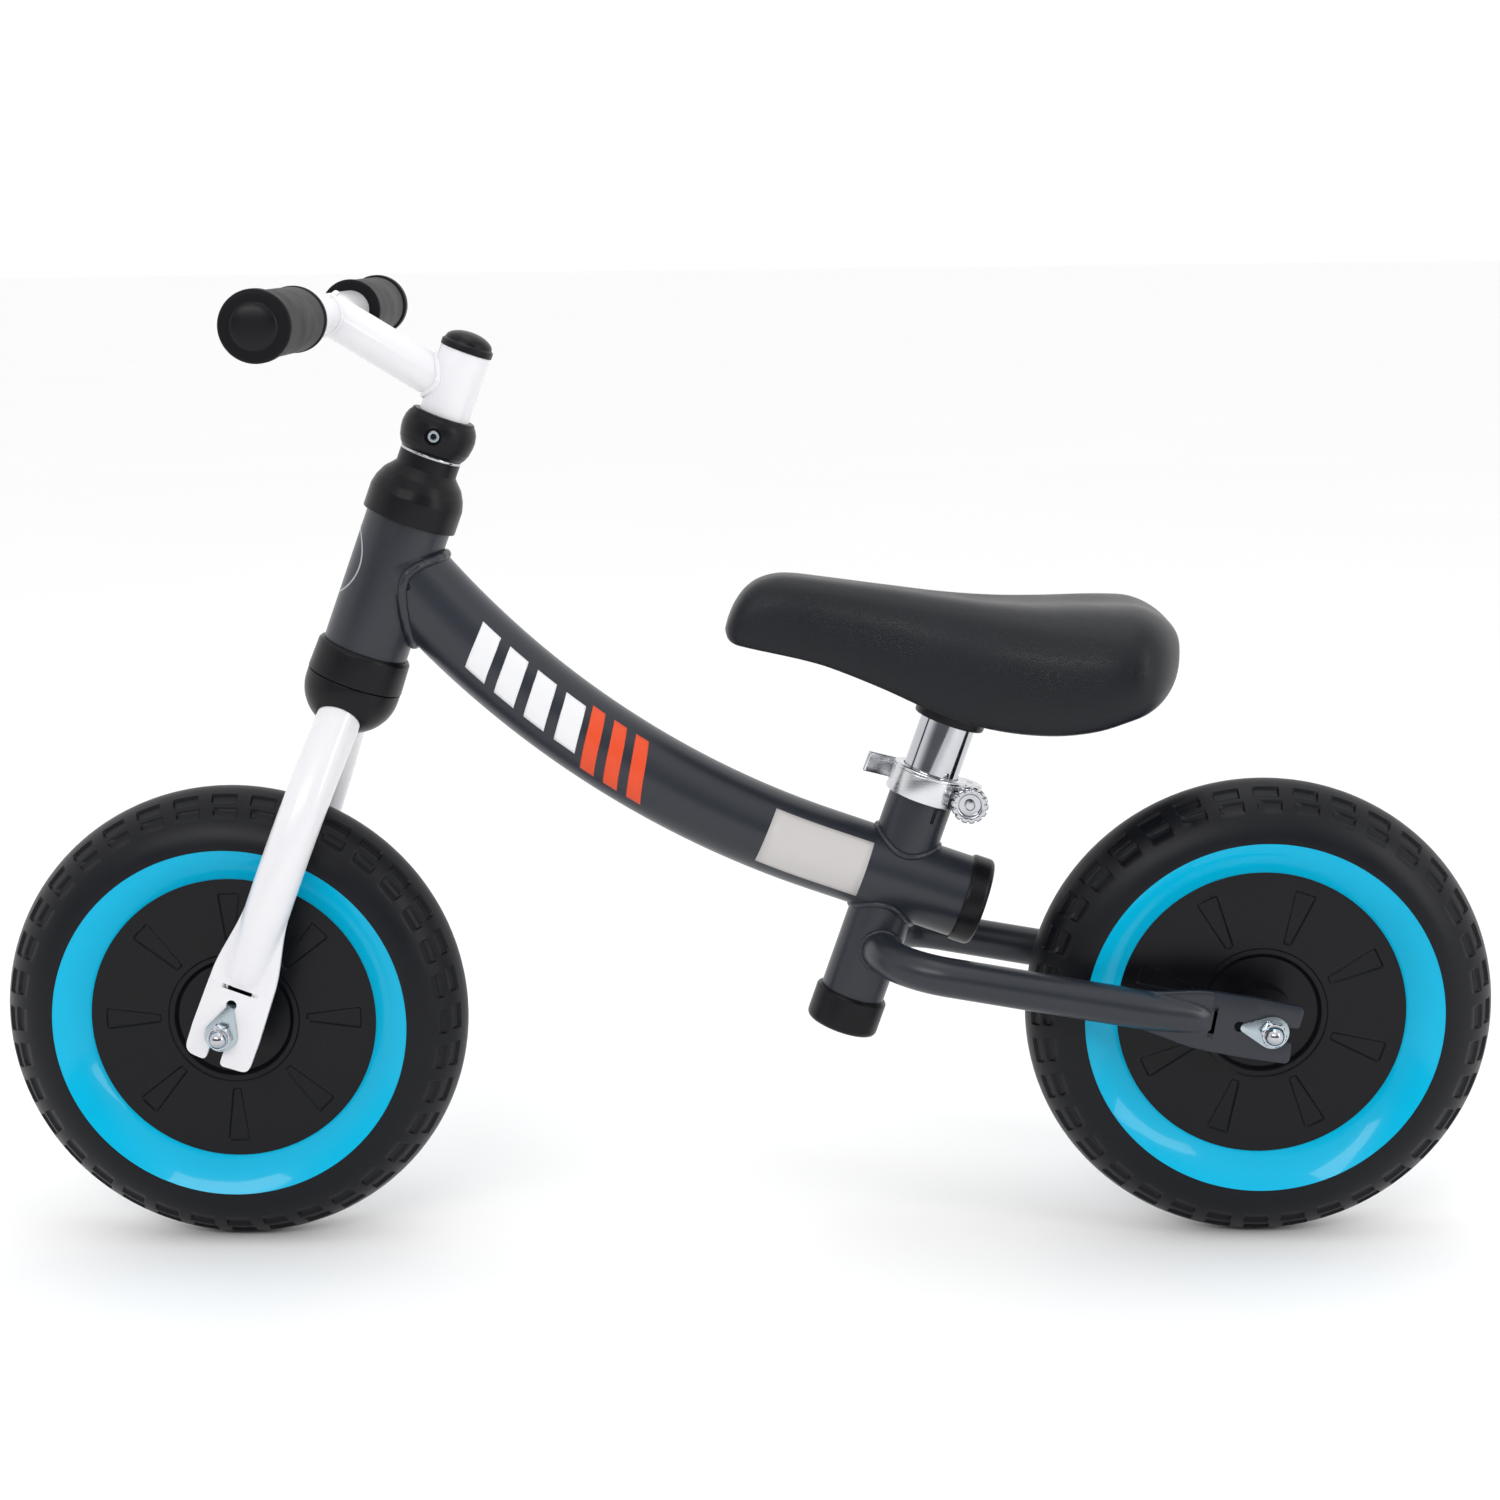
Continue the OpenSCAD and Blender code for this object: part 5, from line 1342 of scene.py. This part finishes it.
MAIN_TRUNK = local_frame(JOINT, MAIN_AHEAD)
HALF_TURN = Matrix.Rotation(math.pi, 4, "X")
weld("head_joint_weld", STEER, HEAD_D / 2, ring_matrix(MAIN_PATH[-1], MAIN_PATH[-3] - MAIN_PATH[-1]),
     MAIN_D / 2 - 0.5, 2.9, *FRAME_TUBE, 9.0)
for part, branch in (("upper", SEAT), ("lower", SEAT @ HALF_TURN)):
    weld("seat_joint_" + part + "_weld", MAIN_TRUNK, MAIN_D / 2, branch, SEAT_D / 2, 1.9, *FRAME_TUBE)
for side, name in ((1, "left"), (-1, "right")):
    weld(name + "_stay_weld", SEAT, SEAT_D / 2, STAY @ wheel_matrix(Vector((-6, 0, 0)), side),
         STAY_D / 2, 1.7, *FRAME_TUBE)
ARM_ROOT, ARM_TIP = STEER @ ROOT, STEER @ TIP
weld("arm_root_weld", STEER, STEM_D / 2, ring_matrix(ARM_ROOT, ARM_TIP - ARM_ROOT), ARM_D / 2, 1.8, *BAR_TUBE)
weld("arm_tip_weld", BAR_SIDE, BAR_D / 2, ring_matrix(ARM_TIP, ARM_ROOT - ARM_TIP), ARM_D / 2, 1.6, *BAR_TUBE)

# ---- floor, light and camera ----


def add_floor():
    bpy.ops.mesh.primitive_plane_add(size=80, location=(0, 0, 0))
    floor = bpy.context.object
    floor.name = "studio_floor"
    made, nodes, links, shader = material("floor")
    tone = noise_node(nodes, links, 1.5, 2.0)
    ramp = ramp_between(nodes, links, tone.outputs["Fac"], (0.95, 0.95, 0.95), (0.96, 0.96, 0.96))
    links.new(ramp.outputs["Color"], shader.inputs["Base Color"])
    shader.inputs["Roughness"].default_value = 0.9
    floor.data.materials.append(made)


def area_light(name, place, target, size, power, size_y):
    data = bpy.data.lights.new(name, "AREA")
    data.shape = "RECTANGLE"
    data.size, data.size_y = size, size_y
    data.energy = power
    lamp = bpy.data.objects.new(name, data)
    bpy.context.scene.collection.objects.link(lamp)
    lamp.location = place
    lamp.rotation_euler = (Vector(target) - Vector(place)).to_track_quat("-Z", "Y").to_euler()


def add_world():
    """White surround, with a darker patch low on the left that only reflections and light see."""
    world = bpy.data.worlds.new("studio")
    world.use_nodes = True
    nodes, links = world.node_tree.nodes, world.node_tree.links
    place = nodes.new("ShaderNodeTexCoord")
    split = nodes.new("ShaderNodeSeparateXYZ")
    links.new(place.outputs["Generated"], split.inputs["Vector"])

    def step(source, low, high, start, end):
        ranged = nodes.new("ShaderNodeMapRange")
        ranged.interpolation_type = "SMOOTHSTEP"
        for key, value in (("From Min", low), ("From Max", high), ("To Min", start), ("To Max", end)):
            ranged.inputs[key].default_value = value
        links.new(split.outputs[source], ranged.inputs["Value"])
        return ranged.outputs["Result"]

    both = nodes.new("ShaderNodeMath")
    both.operation = "MULTIPLY"
    links.new(step("Y", 0.2, 0.8, 0.0, 1.0), both.inputs[0])
    links.new(step("Z", 0.25, 0.7, 1.0, 0.0), both.inputs[1])
    ramp = ramp_between(nodes, links, both.outputs[0], (1.0, 1.0, 1.0), (0.14, 0.145, 0.16), 0.0, 1.0)
    backdrop = nodes.new("ShaderNodeMix")
    backdrop.data_type = "RGBA"
    links.new(nodes.new("ShaderNodeLightPath").outputs["Is Camera Ray"], backdrop.inputs["Factor"])
    links.new(ramp.outputs["Color"], backdrop.inputs["A"])
    backdrop.inputs["B"].default_value = (1.0, 1.0, 1.0, 1.0)
    links.new(backdrop.outputs["Result"], nodes["Background"].inputs["Color"])
    nodes["Background"].inputs["Strength"].default_value = 1.08
    bpy.context.scene.world = world


def add_lights():
    add_world()
    area_light("key_left", (0.7, 2.0, 1.45), (0, 0, 0.25), 1.5, 14, size_y=0.4)
    area_light("top", (-0.2, 0.0, 2.3), (0, 0, 0.2), 1.8, 5.5, size_y=0.8)
    area_light("rear_fill", (-1.7, 1.1, 0.9), (0, 0, 0.25), 0.35, 8, size_y=1.2)


def add_camera():
    data = bpy.data.cameras.new("photo_camera")
    data.sensor_width = 36.0
    data.lens = 67.394
    data.clip_start, data.clip_end = 0.05, 100
    camera = bpy.data.objects.new("photo_camera", data)
    bpy.context.scene.collection.objects.link(camera)
    camera.location = Vector((-43.97, 1574.76, 578.78)) * MM
    camera.rotation_euler = tuple(math.radians(a) for a in (79.4814, 0.6752, -178.6767))
    bpy.context.scene.camera = camera


add_floor()
add_lights()
add_camera()
bpy.context.scene.view_settings.view_transform = "Standard"
